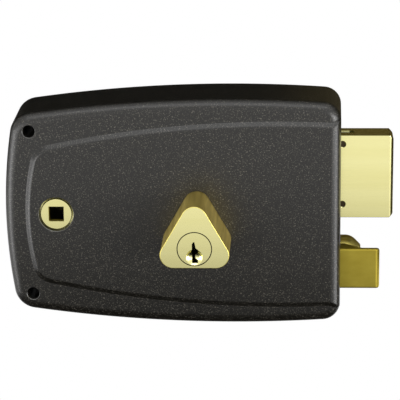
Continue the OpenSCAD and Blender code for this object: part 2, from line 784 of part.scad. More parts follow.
module guard_plunger() {
    bend_x = plunger_end - (plunger_r - nose_r) / tan(cone) - shoulder_r * tan(cone / 2);
    bend = [for (a = [0:cone / 5:cone])
        [plunger_r - shoulder_r * (1 - cos(a)), bend_x + shoulder_r * sin(a)]];
    color(dull) difference() {
        union() {
            translate([0, plunger_y, plunger_z]) rotate([0, 90, 0]) rotate_extrude()
                polygon(concat([[0, plunger_rear], [plunger_r, plunger_rear]], bend,
                    [[nose_r, plunger_end], [0, plunger_end]]));
            bar_x(plunger_rear, plunger_y, plunger_z, collar_r, collar_t);
        }
        bar_x(plunger_rear - past, plunger_y, plunger_z, pocket_r, pocket_l + past);
    }
}

module follower_hub() {
    face_y = panel_y + hub_recess;
    color(polished) difference() {
        union() {
            bar_y(hub_x, 0, hub_r, -plate_t - free, -face_y - plate_t - free);
            bar_y(hub_x, 0, hub_r + hub_flange, roof_y + free + hub_flange_t, hub_flange_t);
            bar_y(hub_x, 0, journal_r, -hub_shy, plate_t + past);
        }
        plate(past, case_d + panel_raise + past)
            translate([hub_x - spindle / 2, -spindle / 2]) square(spindle);
        bar_y(hub_x, 0, core_r, -core_back, -face_y - core_front - core_back);
    }
}

// The arm lies behind the drawbar, and its pin reaches forward through the drawbar's slot
module follower_arm() {
    arm_y = bar_front_y + drawbar_t + arm_gap + arm_t;
    color(steel) difference() {
        union() {
            plate(arm_y, arm_t) {
                translate([hub_x, 0]) circle(hub_r + arm_eye);
                translate([hub_x, 0]) rotate(-90 + arm_rest)
                    translate([0, -arm_w / 2]) square([arm_r, arm_w]);
                translate(arm_tip) circle(arm_w / 2);
            }
            bar_y(arm_tip[0], arm_tip[1], arm_pin_r, arm_y - arm_t / 2, arm_t / 2 + arm_gap + drawbar_t);
        }
        bar_y(hub_x, 0, hub_r + fit / 2, past, case_d);
    }
}

// Keyway outline about the plug axis: a slot with two wards that push it from side to side
module keyway() {
    polygon([[-1, 2], [-0.5, 2.9], [0.1, 2.9], [0.5, 0.4], [1.6, -0.4], [1.6, -1.9], [0.3, -2.6], [0.3, -4],
        [1.4, -4.8], [1.4, -6], [-1, -6], [-1, -2.4], [-1.5, -1.9], [-1.5, -1.1], [-1, -0.6]]);
}

module key_plug() {
    key_l = cyl_rear_y - keyway_end - cyl_front_y;
    color(polished) difference() {
        union() {
            bar_y(plug_x, plug_z, plug_r, plug_rear_y, plug_rear_y - cyl_front_y);
            bar_y(plug_x, plug_z, plug_face_d / 2, cyl_front_y + face_disc_t, face_disc_t);
        }
        difference() {
            bar_y(plug_x, plug_z, plug_r + past, plug_rear_y - clip_at, clip_t + 2 * fit);
            bar_y(plug_x, plug_z, clip_grip, plug_rear_y + past, clip_t + 2 * past);
        }
        plate(cyl_rear_y - keyway_end, key_l + past) translate([plug_x, plug_z]) keyway();
        translate([plug_x, cyl_front_y - dish_out, plug_z + dish_z]) sphere(dish_r);
        block([plug_x - bar_w / 2 - fit, plug_rear_y - bar_in, plug_z - bar_t / 2 - fit],
            [plug_x + bar_w / 2 + fit, plug_rear_y + past, plug_z + bar_t / 2 + fit]);
        pin_stack() translate([0, 0, plug_z]) cylinder(r = chamber_r, h = plug_r + past);
    }
}

module key_pins() {
    color(polished) pin_stack() translate([0, 0, plug_z + key_pin_foot])
        cylinder(d = pin_d, h = plug_r - key_pin_foot - seat);
}

module plug_clip() {
    color(spring_steel) difference() {
        bar_y(plug_x, plug_z, plug_r + clip_rim, plug_rear_y - clip_at - fit, clip_t);
        bar_y(plug_x, plug_z, clip_grip + snug, plug_rear_y, 2 * clip_t + past);
        block([plug_x - clip_gap, plug_rear_y - 2 * clip_t, plug_z - plug_r - 2 * clip_rim],
            [plug_x + clip_gap, plug_rear_y, plug_z]);
    }
}

module tailpiece() {
    color(steel) block([plug_x - bar_w / 2, plug_rear_y - bar_in + fit, plug_z - bar_t / 2],
        [plug_x + bar_w / 2, gear_y + gear_t + bar_past, plug_z + bar_t / 2]);
}

module drive_gear() {
    color(steel) difference() {
        union() {
            plate(gear_y + gear_t, gear_t) gear(gear_m, drive_teeth, plug_x, plug_z, train_angle);
            bar_y(plug_x, plug_z, drive_hub_r, -hub_shy, -gear_y - gear_t - hub_shy);
        }
        block([plug_x - bar_w / 2 - fit, gear_y - past, plug_z - bar_t / 2 - fit],
            [plug_x + bar_w / 2 + fit, past, plug_z + bar_t / 2 + fit]);
    }
}

module reduction_gear() {
    // A gap of the wheel faces the drive gear, and a gap of the pinion faces the rack
    wheel_turn = train_angle + 180 + 180 / wheel_teeth;
    pinion_turn = 90 + 180 / pinion_teeth;
    color(steel) difference() {
        union() {
            plate(gear_y + gear_t, gear_t) gear(gear_m, wheel_teeth, wheel_x, wheel_z, wheel_turn);
            plate(gear_y + past, gear_y + past - tail_y)
                gear(rack_m, pinion_teeth, wheel_x, wheel_z, pinion_turn);
            bar_y(wheel_x, wheel_z, axle_r + axle_rim, -plate_t - free, -gear_y - plate_t - free);
        }
        bar_y(wheel_x, wheel_z, axle_r + fit, past, case_d);
    }
}

case_cover();
back_plate();
plate_screws();
through_bolt_nuts();
cylinder_body();
cylinder_screws();
driver_pins();
pin_springs();
chamber_rod();
bolt_guide_posts();
gear_axle();
axle_clip();
latch_guide();
plunger_guide();
latch_spring();
plunger_spring();
deadbolt_head();
deadbolt_tail();
bolt_pins();
latch_bolt();
latch_rod();
latch_drawbar();
drawbar_pin();
guard_plunger();
follower_hub();
follower_arm();
key_plug();
key_pins();
plug_clip();
tailpiece();
drive_gear();
reduction_gear();
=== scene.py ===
# %% [markdown]
# A rim box lock, dressed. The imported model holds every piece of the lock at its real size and
# place, with the bodies that slide and turn. This lesson keeps that frame, remakes the springs and
# the pieces that show with rounded edges, and gives each one the finish of its real metal or paint.
# X runs towards the bolts, Z up, and the door lies behind the lock at y = 0.

# %% Load the frame
import json
from math import acos, cos, degrees, radians, sin, tan

import bmesh
import bpy
from mathutils import Matrix, Vector
from mathutils.geometry import intersect_line_sphere_2d, intersect_sphere_sphere_2d

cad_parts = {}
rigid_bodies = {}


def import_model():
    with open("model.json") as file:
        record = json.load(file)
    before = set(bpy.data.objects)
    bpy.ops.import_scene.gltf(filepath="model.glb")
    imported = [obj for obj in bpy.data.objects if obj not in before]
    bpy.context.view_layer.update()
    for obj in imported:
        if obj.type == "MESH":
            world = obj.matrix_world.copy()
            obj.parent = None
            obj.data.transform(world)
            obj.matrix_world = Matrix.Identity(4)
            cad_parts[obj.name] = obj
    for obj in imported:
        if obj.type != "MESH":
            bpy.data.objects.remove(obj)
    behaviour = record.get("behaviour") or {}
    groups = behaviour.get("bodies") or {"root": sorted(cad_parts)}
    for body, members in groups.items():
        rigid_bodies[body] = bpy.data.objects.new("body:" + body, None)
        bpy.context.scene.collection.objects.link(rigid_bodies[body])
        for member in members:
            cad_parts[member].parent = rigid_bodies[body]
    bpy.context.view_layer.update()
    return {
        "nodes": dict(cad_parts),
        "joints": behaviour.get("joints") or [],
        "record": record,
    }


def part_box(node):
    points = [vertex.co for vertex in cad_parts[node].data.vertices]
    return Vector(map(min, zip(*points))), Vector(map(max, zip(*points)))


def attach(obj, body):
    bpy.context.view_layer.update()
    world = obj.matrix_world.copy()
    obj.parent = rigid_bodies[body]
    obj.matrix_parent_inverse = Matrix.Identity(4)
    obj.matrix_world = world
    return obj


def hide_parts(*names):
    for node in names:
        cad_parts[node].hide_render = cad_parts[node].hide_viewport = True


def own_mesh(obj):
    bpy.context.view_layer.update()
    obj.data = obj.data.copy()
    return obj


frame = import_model()
record = frame["record"]

# %% [markdown]
# Locks are drawn in millimetres, and Blender counts in metres. So each piece is modelled in
# millimetres and made smaller when it is finished. Places are read from the frame wherever a CAD
# node has them, and nothing is fitted by eye.

# %% Millimetres, and places read from the frame
MM = 0.001
MERGE = 0.002  # points that lie closer than this many millimetres count as one


def corners(node):
    """Lowest and highest corner of a CAD node, in millimetres."""
    low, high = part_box(node)
    return low / MM, high / MM


def joint_named(name):
    """A joint of the frame, with its place and its range."""
    return next(j for j in frame["joints"] if j["name"] == name)


def joint_axis(name):
    """The point that a joint turns about, in millimetres."""
    return Vector(joint_named(name)["pos_m"]) / MM


case_low, case_high = corners("case_cover")
plug_axis = joint_axis("plug_turn")
hub_axis = joint_axis("follower_turn")
print("case", [round(v, 2) for v in case_high - case_low], "mm, plug axis", plug_axis)

# %% [markdown]
# Most outlines here are arcs that run into each other: the bowed top, the round corners, the
# triangle of the cylinder. An arc needs no list of points: one vertex is spun about its centre and
# leaves a row of edges behind it. The arcs are then joined and filled. Each is given by its centre,
# radius, first angle, turn and steps.

# %% Outlines from spun vertices
def direction(angle):
    """A unit step in the XZ plane, at an angle from +X towards +Z, in degrees."""
    return Vector((cos(radians(angle)), 0, sin(radians(angle))))


def heading(from_point, to_point):
    """The angle at which one point of the XZ plane sees another, in degrees."""
    return -degrees(Vector((1, 0)).angle_signed(to_point - from_point))


def mirrored(arcs):
    """The same arcs below the middle line, in the order that carries the outline on."""
    return [(Vector((centre[0], -centre[1])), radius, -start - turn, turn, steps)
            for centre, radius, start, turn, steps in reversed(arcs)]


def outline_face(bm, arcs, y):
    """Spins one vertex along each arc, joins the arcs in turn and fills the loop with a face."""
    ends = []
    for centre, radius, start, turn, steps in arcs:
        hub = Vector((centre[0], y, centre[1]))
        first = bm.verts.new(hub + radius * direction(start))
        spun = bmesh.ops.spin(bm, geom=[first], cent=hub, axis=(0, -1, 0), angle=radians(turn), steps=steps)
        ends.append((first, spun["geom_last"][0]))
    for (_, last), (first, _) in zip(ends, ends[1:] + ends[:1]):
        bm.edges.new((last, first))
    bmesh.ops.remove_doubles(bm, verts=bm.verts, dist=MERGE)
    return bmesh.ops.contextual_create(bm, geom=bm.edges[:])["faces"][0]


def pull(bm, face, step):
    """Extrudes a face by a step and returns the face at its end."""
    out = bmesh.ops.extrude_face_region(bm, geom=[face], use_keep_orig=True)["geom"]
    end = next(g for g in out if isinstance(g, bmesh.types.BMFace))
    bmesh.ops.translate(bm, vec=step, verts=end.verts)
    bmesh.ops.recalc_face_normals(bm, faces=bm.faces)
    return end


def slab(arcs, y, distance):
    """A bmesh with an outline at a depth, pulled towards the viewer, and its face in front."""
    bm = bmesh.new()
    return bm, pull(bm, outline_face(bm, arcs, y), (0, -distance, 0))


def rounded(bm, edges, offset, segments):
    """Rounds or chamfers edges with a circular profile."""
    return bmesh.ops.bevel(bm, geom=edges, offset=offset, offset_type="OFFSET", segments=segments,
                           profile=0.5, affect="EDGES", material=-1)


# %% [markdown]
# A piece starts as a bmesh. `block_out` makes it an object that is still in millimetres, so that
# tools can be cut out of it or joined to it. A modifier could stay live for that, but here its
# result is taken at once, and the tools are thrown away.

# %% From bmesh to rough piece
def show(name, data):
    """A new object of the scene, made from a mesh, a lamp or a lens."""
    shown = bpy.data.objects.new(name, data)
    bpy.context.scene.collection.objects.link(shown)
    return shown


def block_out(name, bm):
    """A plain object, with its doubles merged and its faces pointing out."""
    bmesh.ops.remove_doubles(bm, verts=bm.verts, dist=MERGE)
    bmesh.ops.recalc_face_normals(bm, faces=bm.faces)
    mesh = bpy.data.meshes.new(name)
    bm.to_mesh(mesh)
    bm.free()
    return show(name, mesh)


def combine(rough, operation, tools):
    """Joins tools to a rough piece, or cuts them out of it, one after the other."""
    for tool in tools:
        step = rough.modifiers.new(operation.lower(), "BOOLEAN")
        step.operation = operation
        step.solver = "MANIFOLD"
        step.object = tool
    settled = rough.evaluated_get(bpy.context.evaluated_depsgraph_get())
    rough.data = bpy.data.meshes.new_from_object(settled)
    rough.modifiers.clear()
    for tool in tools:
        bpy.data.objects.remove(tool)
    return rough


# %% [markdown]
# A finished piece is one object at the origin with its place in its mesh. `finish_piece` brings it
# to metres, smooths it up to a sharp angle and hangs it on the body that moves it, in place of its
# CAD node. The weighted normals keep flat faces flat beside their rounded edges.

# %% From rough to finished piece
SHARP = 34  # degrees at which an edge stays sharp
slot_of = {part["node"]: part["material_slot"] for part in record["subparts"]}
body_of = {node: body for body, nodes in record["behaviour"]["bodies"].items() for node in nodes}


def finish_piece(piece, node):
    """Brings a piece to metres, smooths it, and puts it in a CAD node's place, on that node's body."""
    mesh = piece.data
    mesh.transform(Matrix.Scale(MM, 4))
    mesh.shade_smooth()
    mesh.set_sharp_from_angle(angle=radians(SHARP))
    mesh.materials.clear()
    mesh.materials.append(FINISH[slot_of[node]])
    even = piece.modifiers.new("flat faces stay flat", "WEIGHTED_NORMAL")
    even.keep_sharp = True
    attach(piece, body_of[node])
    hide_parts(node)
    print(piece.name, "replaces", node, "with", len(mesh.polygons), "faces")
    return piece


# %% [markdown]
# Colours are written as sRGB hex values, as a paint shop would give them, and one function turns
# them to the linear values that shaders use. Another adds a shader node with its settings and its
# links, so that each material reads as a recipe.

# %% Colours and shader nodes
MIX_A, MIX_B, MIX_COLOUR = 6, 7, 2  # the colour sockets of a Mix node, which shares their names


def linear(hex_colour):
    """An sRGB hex colour as linear RGBA."""
    channels = [int(hex_colour[i:i + 2], 16) / 255 for i in (1, 3, 5)]
    return [c / 12.92 if c <= 0.04045 else ((c + 0.055) / 1.055) ** 2.4 for c in channels] + [1]


def feed(tree, node, inputs):
    """Sets a node's sockets to values, or links them to the outputs that feed them."""
    for name, value in dict(inputs).items():
        if isinstance(value, bpy.types.NodeSocket):
            tree.links.new(value, node.inputs[name])
        else:
            node.inputs[name].default_value = value


def add(tree, kind, inputs=(), **settings):
    """Adds a node, with the settings that are its properties and the inputs of its sockets."""
    node = tree.nodes.new("ShaderNode" + kind)
    for name, value in settings.items():
        setattr(node, name, value)
    feed(tree, node, inputs)
    return node


def new_material(name):
    """An empty material with its Principled shader and its Object coordinates."""
    material = bpy.data.materials.new(name)
    material.use_nodes = True
    tree = material.node_tree
    return material, tree, tree.nodes["Principled BSDF"], add(tree, "TexCoord").outputs["Object"]


def per_metre(size_mm):
    """Texture scale at which one feature is about that many millimetres wide."""
    return 1 / (size_mm * MM)


def clouded(tree, place, size_mm, detail, deep, pale):
    """A tone that drifts between two colours in clouds of a size: the clouds' strength and the colour."""
    cloud = add(tree, "TexNoise", {"Vector": place, "Scale": per_metre(size_mm), "Detail": detail})
    tone = add(tree, "Mix", {
        0: cloud.outputs["Fac"], MIX_A: linear(deep), MIX_B: linear(pale)}, data_type="RGBA")
    return cloud.outputs["Fac"], tone.outputs[MIX_COLOUR]


# %% [markdown]
# The case is die-cast zinc under a black powder coat. Powder is sprayed on dry and baked, and this
# sort bakes to a fine sand texture. The paint itself is nearly black: the grey that the eye sees is
# light mirrored by its satin surface, so faces turned away from the light stay dark. Single grains
# are paler and show as flecks. All grains are drawn coarser than in life, to be seen at all.

# %% Black sand-texture powder coat
GRAIN, FLECK, CLOUD = 0.6, 0.55, 9.0
FLECK_FROM, FLECK_FULL = 0.56, 0.68
GRAIN_HEIGHT, GRAIN_RELIEF = 0.1, 0.5
PAINT_SATIN, PAINT_DULL, PAINT_MIRROR = 0.27, 0.43, 0.52


def powder_coat():
    material, tree, shader, place = new_material("black_sand_powder_coat")
    grain = add(tree, "TexNoise", {
        "Vector": place, "Scale": per_metre(GRAIN), "Detail": 3.0, "Roughness": 0.62}).outputs["Fac"]
    fleck = add(tree, "TexNoise", {
        "Vector": place, "Scale": per_metre(FLECK), "Detail": 4.0, "Roughness": 0.75}).outputs["Fac"]
    pale = add(tree, "MapRange", {"Value": fleck, "From Min": FLECK_FROM, "From Max": FLECK_FULL})
    _, tone = clouded(tree, place, CLOUD, 2.0, "#0e0d0a", "#14120e")
    dust = add(tree, "Mix", {
        0: pale.outputs["Result"], MIX_A: tone, MIX_B: linear("#78746a")}, data_type="RGBA")
    gloss = add(tree, "MapRange", {"Value": grain, "To Min": PAINT_SATIN, "To Max": PAINT_DULL})
    relief = add(tree, "Bump", {
        "Height": grain, "Strength": GRAIN_RELIEF, "Distance": GRAIN_HEIGHT * MM})
    feed(tree, shader, {
        "Base Color": dust.outputs[MIX_COLOUR], "Roughness": gloss.outputs["Result"],
        "Normal": relief.outputs["Normal"], "Specular IOR Level": PAINT_MIRROR})
    return material


black_coat = powder_coat()
print("made", black_coat.name)

# %% [markdown]
# Bolt, cylinder, plug and follower are machined from brass bar, and the latch is cast. Metal has no
# colour of its own apart from its reflection, so the base colour is the tint of that reflection,
# and the roughness decides how sharp it is. One recipe makes all five brasses: a tone that changes
# in patches from handling, and lines from the tool or the die, both stretched along its path.

# %% Brasses
ALONG_X, ALONG_Y, SLIGHT = (0.06, 1.0, 1.0), (1.0, 0.06, 1.0), (0.5, 1.0, 1.0)
LINE_RELIEF = 0.12


def brass(name, pale, deep, patch_mm, line_mm, height_mm, gloss, stretch):
    """Brass of two tones in patches, with lines of a height and a range of roughness, all stretched."""
    material, tree, shader, place = new_material(name)
    path = add(tree, "Mapping", {"Vector": place, "Scale": stretch}).outputs["Vector"]
    _, tone = clouded(tree, path, patch_mm, 3.0, deep, pale)
    lines = add(tree, "TexNoise", {
        "Vector": path, "Scale": per_metre(line_mm), "Detail": 2.0}).outputs["Fac"]
    polish = add(tree, "MapRange", {"Value": lines, "To Min": gloss[0], "To Max": gloss[1]})
    relief = add(tree, "Bump", {"Height": lines, "Strength": LINE_RELIEF, "Distance": height_mm * MM})
    feed(tree, shader, {
        "Base Color": tone, "Roughness": polish.outputs["Result"],
        "Normal": relief.outputs["Normal"], "Metallic": 1.0})
    return material


# Polished bar: a pale yellow mirror with faint straight lines along the wheel's path.
polished_brass = brass("polished_bar_brass", "#f5efb0", "#eae29a", 6.0, 0.5, 0.02, (0.16, 0.26), ALONG_X)
# Drawn through a die and left satin: light and dark streaks along the bar, no sharp reflection.
satin_brass = brass("drawn_satin_brass", "#f0da7c", "#7c6626", 2.0, 0.5, 0.03, (0.46, 0.58), ALONG_Y)
# Turned on a lathe and not polished: a softer yellow.
turned_brass = brass("turned_brass", "#e2d47c", "#c8b85c", 4.0, 1.0, 0.05, (0.36, 0.48), SLIGHT)
# Cast and tumbled: darker and almost matt, with shallow dents.
cast_brass = brass("tumbled_cast_brass", "#ae9e42", "#90802c", 4.0, 1.4, 0.15, (0.46, 0.6), SLIGHT)
# Painted shade: bores, slots and seams are painted almost black brass, for the shade that falls inside them.
painted_shade_brass = brass("painted_shade_bore_brass", "#2a2412", "#18140a", 3.0, 0.8, 0.03, (0.6, 0.75), SLIGHT)
brasses = (polished_brass, satin_brass, turned_brass, cast_brass, painted_shade_brass)
print("made", ", ".join(m.name for m in brasses))

# %% [markdown]
# Inside parts and the back plate are zinc-plated steel: a cool grey with faint cloudy tints from
# the passivating bath. Springs are darker drawn wire, and the bolt's cross pins are blackened by
# oil. Where the paint is rubbed off the rim of a hole, the zinc of the casting shows, a dull grey.

# %% Grey metals
def grey_metal(name, pale, deep, cloud_mm, gloss):
    """Steel or zinc: a cloudy tone of two colours and a roughness that follows the clouds."""
    material, tree, shader, place = new_material(name)
    cloud, tone = clouded(tree, place, cloud_mm, 4.0, deep, pale)
    sheen = add(tree, "MapRange", {"Value": cloud, "To Min": gloss[0], "To Max": gloss[1]})
    feed(tree, shader, {"Base Color": tone, "Roughness": sheen.outputs["Result"], "Metallic": 1.0})
    return material


zinc_steel = grey_metal("zinc_plated_steel", "#c6c8c6", "#a9abb0", 6.0, (0.28, 0.45))
spring_wire = grey_metal("drawn_spring_steel", "#8a8d90", "#6c6f74", 2.0, (0.3, 0.42))
oiled_steel = grey_metal("oil_blackened_steel", "#4a4030", "#2a241a", 1.5, (0.35, 0.55))
worn_zinc = grey_metal("worn_cast_zinc", "#7a7a78", "#4c4c4a", 3.0, (0.34, 0.48))
FINISH = {"case_paint": black_coat, "polished_brass": polished_brass, "dull_brass": cast_brass,
          "zinc_steel": zinc_steel, "spring_steel": spring_wire, "dark_steel": oiled_steel}
print("finishes:", ", ".join(m.name for m in FINISH.values()))

# %% [markdown]
# Every CAD node that stays visible takes the finish that its record slot names. The nodes' meshes
# are left alone: only their material slots change. Pieces that are remade below cover their nodes.

# %% Finishes on the CAD nodes
for node, slot in slot_of.items():
    mesh = frame["nodes"][node].data
    mesh.materials.clear()
    mesh.materials.append(FINISH[slot])
print("dressed", len(slot_of), "CAD nodes")

# %% [markdown]
# Some faces differ from the rest of their piece: the rim of a hole where the paint is worn, or a
# bore or seam that is painted dark as shade. They could be picked by hand. Here they are found by
# where they lie: at a distance from an axis along Y, behind a depth, and not square to that axis.

# %% A second finish on some faces
SIDE_FACING, CHAMFER_FACING = 0.3, 0.97  # how much of a face's normal may point along Y


def refinish(piece, finish, axis, band, facing, from_y):
    """Gives a finish to the faces in a band of radii about an axis, behind a depth, that look sideways."""
    slots = piece.data.materials
    if finish.name not in slots:
        slots.append(finish)
    index = slots.find(finish.name)
    for face in piece.data.polygons:
        place = face.center / MM
        out = (place - axis).xz.length
        if place.y > from_y and band[0] - MERGE < out < band[1] + MERGE and abs(face.normal.y) < facing:
            face.material_index = index


# %% [markdown]
# The case cover is a shallow casting with bowed top and bottom, a bowed left end and a straight
# bolt side. The CAD mesh has few steps round its edges, so the outline is drawn anew, from four
# arcs and their mirror images. The corner centres need no formula: a round corner touches both
# neighbours, so its centre lies where two smaller circles cross.

# %% Case outline
ARC_R, ARC_X = 590.0, 24.0
END_R = 215.0
LEFT_CORNER_R, RIGHT_CORNER_R = 9.5, 7.5
RIGHT_STEPS, LONG_STEPS, LEFT_STEPS, END_STEPS = 12, 40, 14, 10
left_x, right_x, top_z = case_low.x, case_high.x, case_high.z


def corner_between(centre_a, radius_a, centre_b, radius_b, radius):
    """Centre of a round corner inside two circles: their crossing at the left end."""
    found = intersect_sphere_sphere_2d(centre_a, radius_a - radius, centre_b, radius_b - radius)
    return min(found, key=lambda p: p.x)


def case_arcs():
    long_c = Vector((ARC_X, top_z - ARC_R))
    bow_c = Vector((left_x + END_R, 0))
    left_c = corner_between(long_c, ARC_R, bow_c, END_R, LEFT_CORNER_R)
    foot, head = (Vector((right_x - RIGHT_CORNER_R, z)) for z in (0, top_z))
    found = intersect_line_sphere_2d(foot, head, long_c, ARC_R - RIGHT_CORNER_R, False)
    right_c = max((p for p in found if p), key=lambda p: p.y)
    a_right, a_left, a_bow = heading(long_c, right_c), heading(long_c, left_c), heading(bow_c, left_c)
    upper = [(right_c, RIGHT_CORNER_R, 0, a_right, RIGHT_STEPS),
             (long_c, ARC_R, a_right, a_left - a_right, LONG_STEPS),
             (left_c, LEFT_CORNER_R, a_left, a_bow - a_left, LEFT_STEPS),
             (bow_c, END_R, a_bow, 180 - a_bow, END_STEPS)]
    return upper + mirrored(upper)


case_outline = case_arcs()
print("case outline:", len(case_outline), "arcs")

# %% [markdown]
# A casting has to slip out of its mould, so its sides lean in a little towards the front, which is
# called draft. The outline is pulled forward, its front is drawn in by that draft, and the front
# edge is rounded.

# %% Case body
DRAFT = 1.0
EDGE_R, EDGE_STEPS = 4.3, 10
LEDGE_Y = 31.5


def draw_in(bm, verts, amount):
    """Draws points in towards the middle, by an amount at the bolt side and at the top."""
    bmesh.ops.scale(bm, vec=(1 - amount / right_x, 1, 1 - amount / top_z), verts=verts)


def case_body(name, depth):
    """The case's outer form down to a depth, with its draft and its rounded front edge."""
    bm, front = slab(case_outline, 0, depth)
    draw_in(bm, front.verts, tan(radians(DRAFT)) * depth)
    rounded(bm, front.edges[:], EDGE_R, EDGE_STEPS)
    return block_out(name, bm)


cover = case_body("case_cover_cast", LEDGE_Y)
print("case body:", len(cover.data.vertices), "vertices")

# %% [markdown]
# The raised panel has its own bowed outline and a soft sloped border. It is a second, slightly
# deeper solid: its outline is filled just below the ledge and then inset step by step, each inset
# rising along an S-curve, so that the border has no hard line. It runs out past the bolt side and
# is trimmed by a deeper copy of the case, which gives it the same rounded edge there.

# %% Raised panel
PANEL_RAISE, PANEL_FOOT = 1.6, 0.35
PANEL_H, PANEL_DROP, PANEL_ARC_R, PANEL_ARC_X = 80.9, 0.5, 460.0, 44.0
PANEL_END_R, PANEL_CORNER_R, LEDGE_W = 100.0, 10.0, 8.2
PANEL_LONG_STEPS, PANEL_CORNER_STEPS, PANEL_END_STEPS = 48, 16, 12
RAMP_W, RAMP_STEPS = 3.3, 7
RUN_OUT = 12.0


def panel_arcs():
    long_c = Vector((PANEL_ARC_X, PANEL_H / 2 - PANEL_ARC_R))
    bow_c = Vector((left_x + LEDGE_W + PANEL_END_R, 0))
    corner_c = corner_between(long_c, PANEL_ARC_R, bow_c, PANEL_END_R, PANEL_CORNER_R)
    a_first = degrees(acos((right_x + RUN_OUT - PANEL_ARC_X) / PANEL_ARC_R))
    a_corner, a_bow = heading(long_c, corner_c), heading(bow_c, corner_c)
    upper = [(long_c, PANEL_ARC_R, a_first, a_corner - a_first, PANEL_LONG_STEPS),
             (corner_c, PANEL_CORNER_R, a_corner, a_bow - a_corner, PANEL_CORNER_STEPS),
             (bow_c, PANEL_END_R, a_bow, 180 - a_bow, PANEL_END_STEPS)]
    return upper + mirrored(upper)


def raised_panel():
    bm, front = slab(panel_arcs(), EDGE_R - LEDGE_Y, EDGE_R - PANEL_FOOT)
    before = 0.0
    for step in range(1, RAMP_STEPS + 1):
        t = step / RAMP_STEPS
        height = (PANEL_RAISE + PANEL_FOOT) * t * t * (3 - 2 * t)
        bmesh.ops.inset_individual(bm, faces=[front], thickness=RAMP_W / RAMP_STEPS, depth=height - before,
                                   use_even_offset=True)
        before = height
    bmesh.ops.translate(bm, vec=(0, 0, -PANEL_DROP), verts=bm.verts)
    return block_out("panel", bm)


panel = combine(raised_panel(), "INTERSECT", [case_body("trim", LEDGE_Y + PANEL_RAISE)])
combine(cover, "UNION", [panel])
print("with panel:", len(cover.data.polygons), "faces")

# %% [markdown]
# Inside, the casting is hollow, with tubes for the two fixing screws and posts for the screws that
# hold the back plate. Round pieces of every sort come from one helper: a profile is drawn as a row
# of edges and spun about its axis, as on a lathe.

# %% Cavity and posts
WALL = 2.5
CAVITY_R, CAVITY_STEPS = 1.5, 3
sides = (-1, 1)
FIXINGS = [(-58.6, s * 34.7) for s in sides]
POSTS = [(x, s * z) for s in sides for x, z in ((-25.0, 39.5), (60.0, 38.5))]
FIXING_R, BOSS_R, POST_R, POST_BORE_R = 2.6, 5.1, 3.6, 1.6
PLATE_TOP = -2.2
ROOF_Y = WALL - LEDGE_Y
PAST = 1.0  # how far a tool reaches past the face that it cuts
ROUND_STEPS, FINE_STEPS = 48, 96


def turned(name, centre, axis, profile, steps):
    """A turned piece: a profile of radii and places along an axis through a centre, spun about it."""
    along = Vector((1, 0, 0)) if axis == "X" else Vector((0, 1, 0))
    outward = Vector((0, 0, 1)) if axis == "X" else Vector((1, 0, 0))
    base = Vector(centre) - along * along.dot(centre)
    bm = bmesh.new()
    row = [bm.verts.new(base + outward * r + along * place) for r, place in profile]
    for a, b in zip(row, row[1:]):
        bm.edges.new((a, b))
    bmesh.ops.spin(bm, geom=bm.verts[:] + bm.edges[:], cent=base, axis=along, angle=radians(360),
                   steps=steps, use_merge=True)
    return block_out(name, bm)


def peg(x, z, radius, back, front, flare=0.0):
    """A round bar along Y; a flare widens its last stretch before the front, like a countersink."""
    profile = [(0, back), (radius, back)]
    if flare:
        profile += [(radius, front + flare), (radius + flare, front), (radius + flare, front - PAST)]
    else:
        profile += [(radius, front)]
    return turned("peg", (x, 0, z), "Y", profile + [(0, profile[-1][1])], ROUND_STEPS)


def cavity():
    bm, front = slab(case_outline, PAST, PAST - ROOF_Y)
    draw_in(bm, bm.verts, WALL)
    draw_in(bm, front.verts, tan(radians(DRAFT)) * LEDGE_Y)
    rounded(bm, front.edges[:], CAVITY_R, CAVITY_STEPS)
    return block_out("cavity", bm)


combine(cover, "DIFFERENCE", [cavity()])
posts = [peg(x, z, BOSS_R, PLATE_TOP, ROOF_Y - PAST) for x, z in FIXINGS]
posts += [peg(x, z, POST_R, PLATE_TOP, ROOF_Y - PAST) for x, z in POSTS]
combine(cover, "UNION", posts)
print("hollow cover:", len(cover.data.polygons), "faces")

# %% [markdown]
# The cylinder passes through the cover in a rounded triangle, and the bolts pass through slots in
# the bolt side. A hole has to be a little larger than what goes through it, so the same outlines
# serve twice: once as they are for the piece, and once grown by a gap for the cutter.

# %% Cutters for the openings
TRI_R, TRI_W, TRI_H, TRI_FOOT, TRI_STEPS = 5.4, 17.2, 14.9, -2.7, 16
SLOT_GAP, SLOT_DEEP = 0.3, 10.0


def triangle_arcs(grow):
    """The rounded triangle about the plug axis, its corners grown by an amount."""
    middle = Vector((plug_axis.x, plug_axis.z))
    spots = [Vector((TRI_W / 2, TRI_FOOT)), Vector((0, TRI_FOOT + TRI_H)), Vector((-TRI_W / 2, TRI_FOOT))]
    facing = 90 - heading(spots[2], spots[1])
    turns = [(-90, 90 + facing), (facing, 180 - 2 * facing), (180 - facing, 90 + facing)]
    return [(middle + spot, TRI_R + grow, *turn, TRI_STEPS) for spot, turn in zip(spots, turns)]


def triangle_bar(name, grow, back, front):
    bm, _ = slab(triangle_arcs(grow), back, back - front)
    return block_out(name, bm)


def block(low, high):
    """A bmesh with a box between two corners."""
    bm = bmesh.new()
    bmesh.ops.create_cube(bm, size=1)
    low, high = Vector(low), Vector(high)
    bmesh.ops.scale(bm, vec=high - low, verts=bm.verts)
    bmesh.ops.translate(bm, vec=(low + high) / 2, verts=bm.verts)
    return bm


def box_tool(start, end, gap):
    """A box to cut with, between two corners that are moved apart by a gap."""
    return block_out("box", block(Vector(start) - Vector(gap), Vector(end) + Vector(gap)))


def slot_for(node):
    """A box that lets a bolt pass through the bolt side with a gap all round."""
    low, high = corners(node)
    return box_tool((right_x - SLOT_DEEP, low.y, low.z), (right_x + PAST, high.y, high.z),
                    (0, SLOT_GAP, SLOT_GAP))


def rod(name, centre, radius, start, end):
    """A round bar along X between two places."""
    return turned(name, centre, "X", [(0, start), (radius, start), (radius, end), (0, end)], ROUND_STEPS)


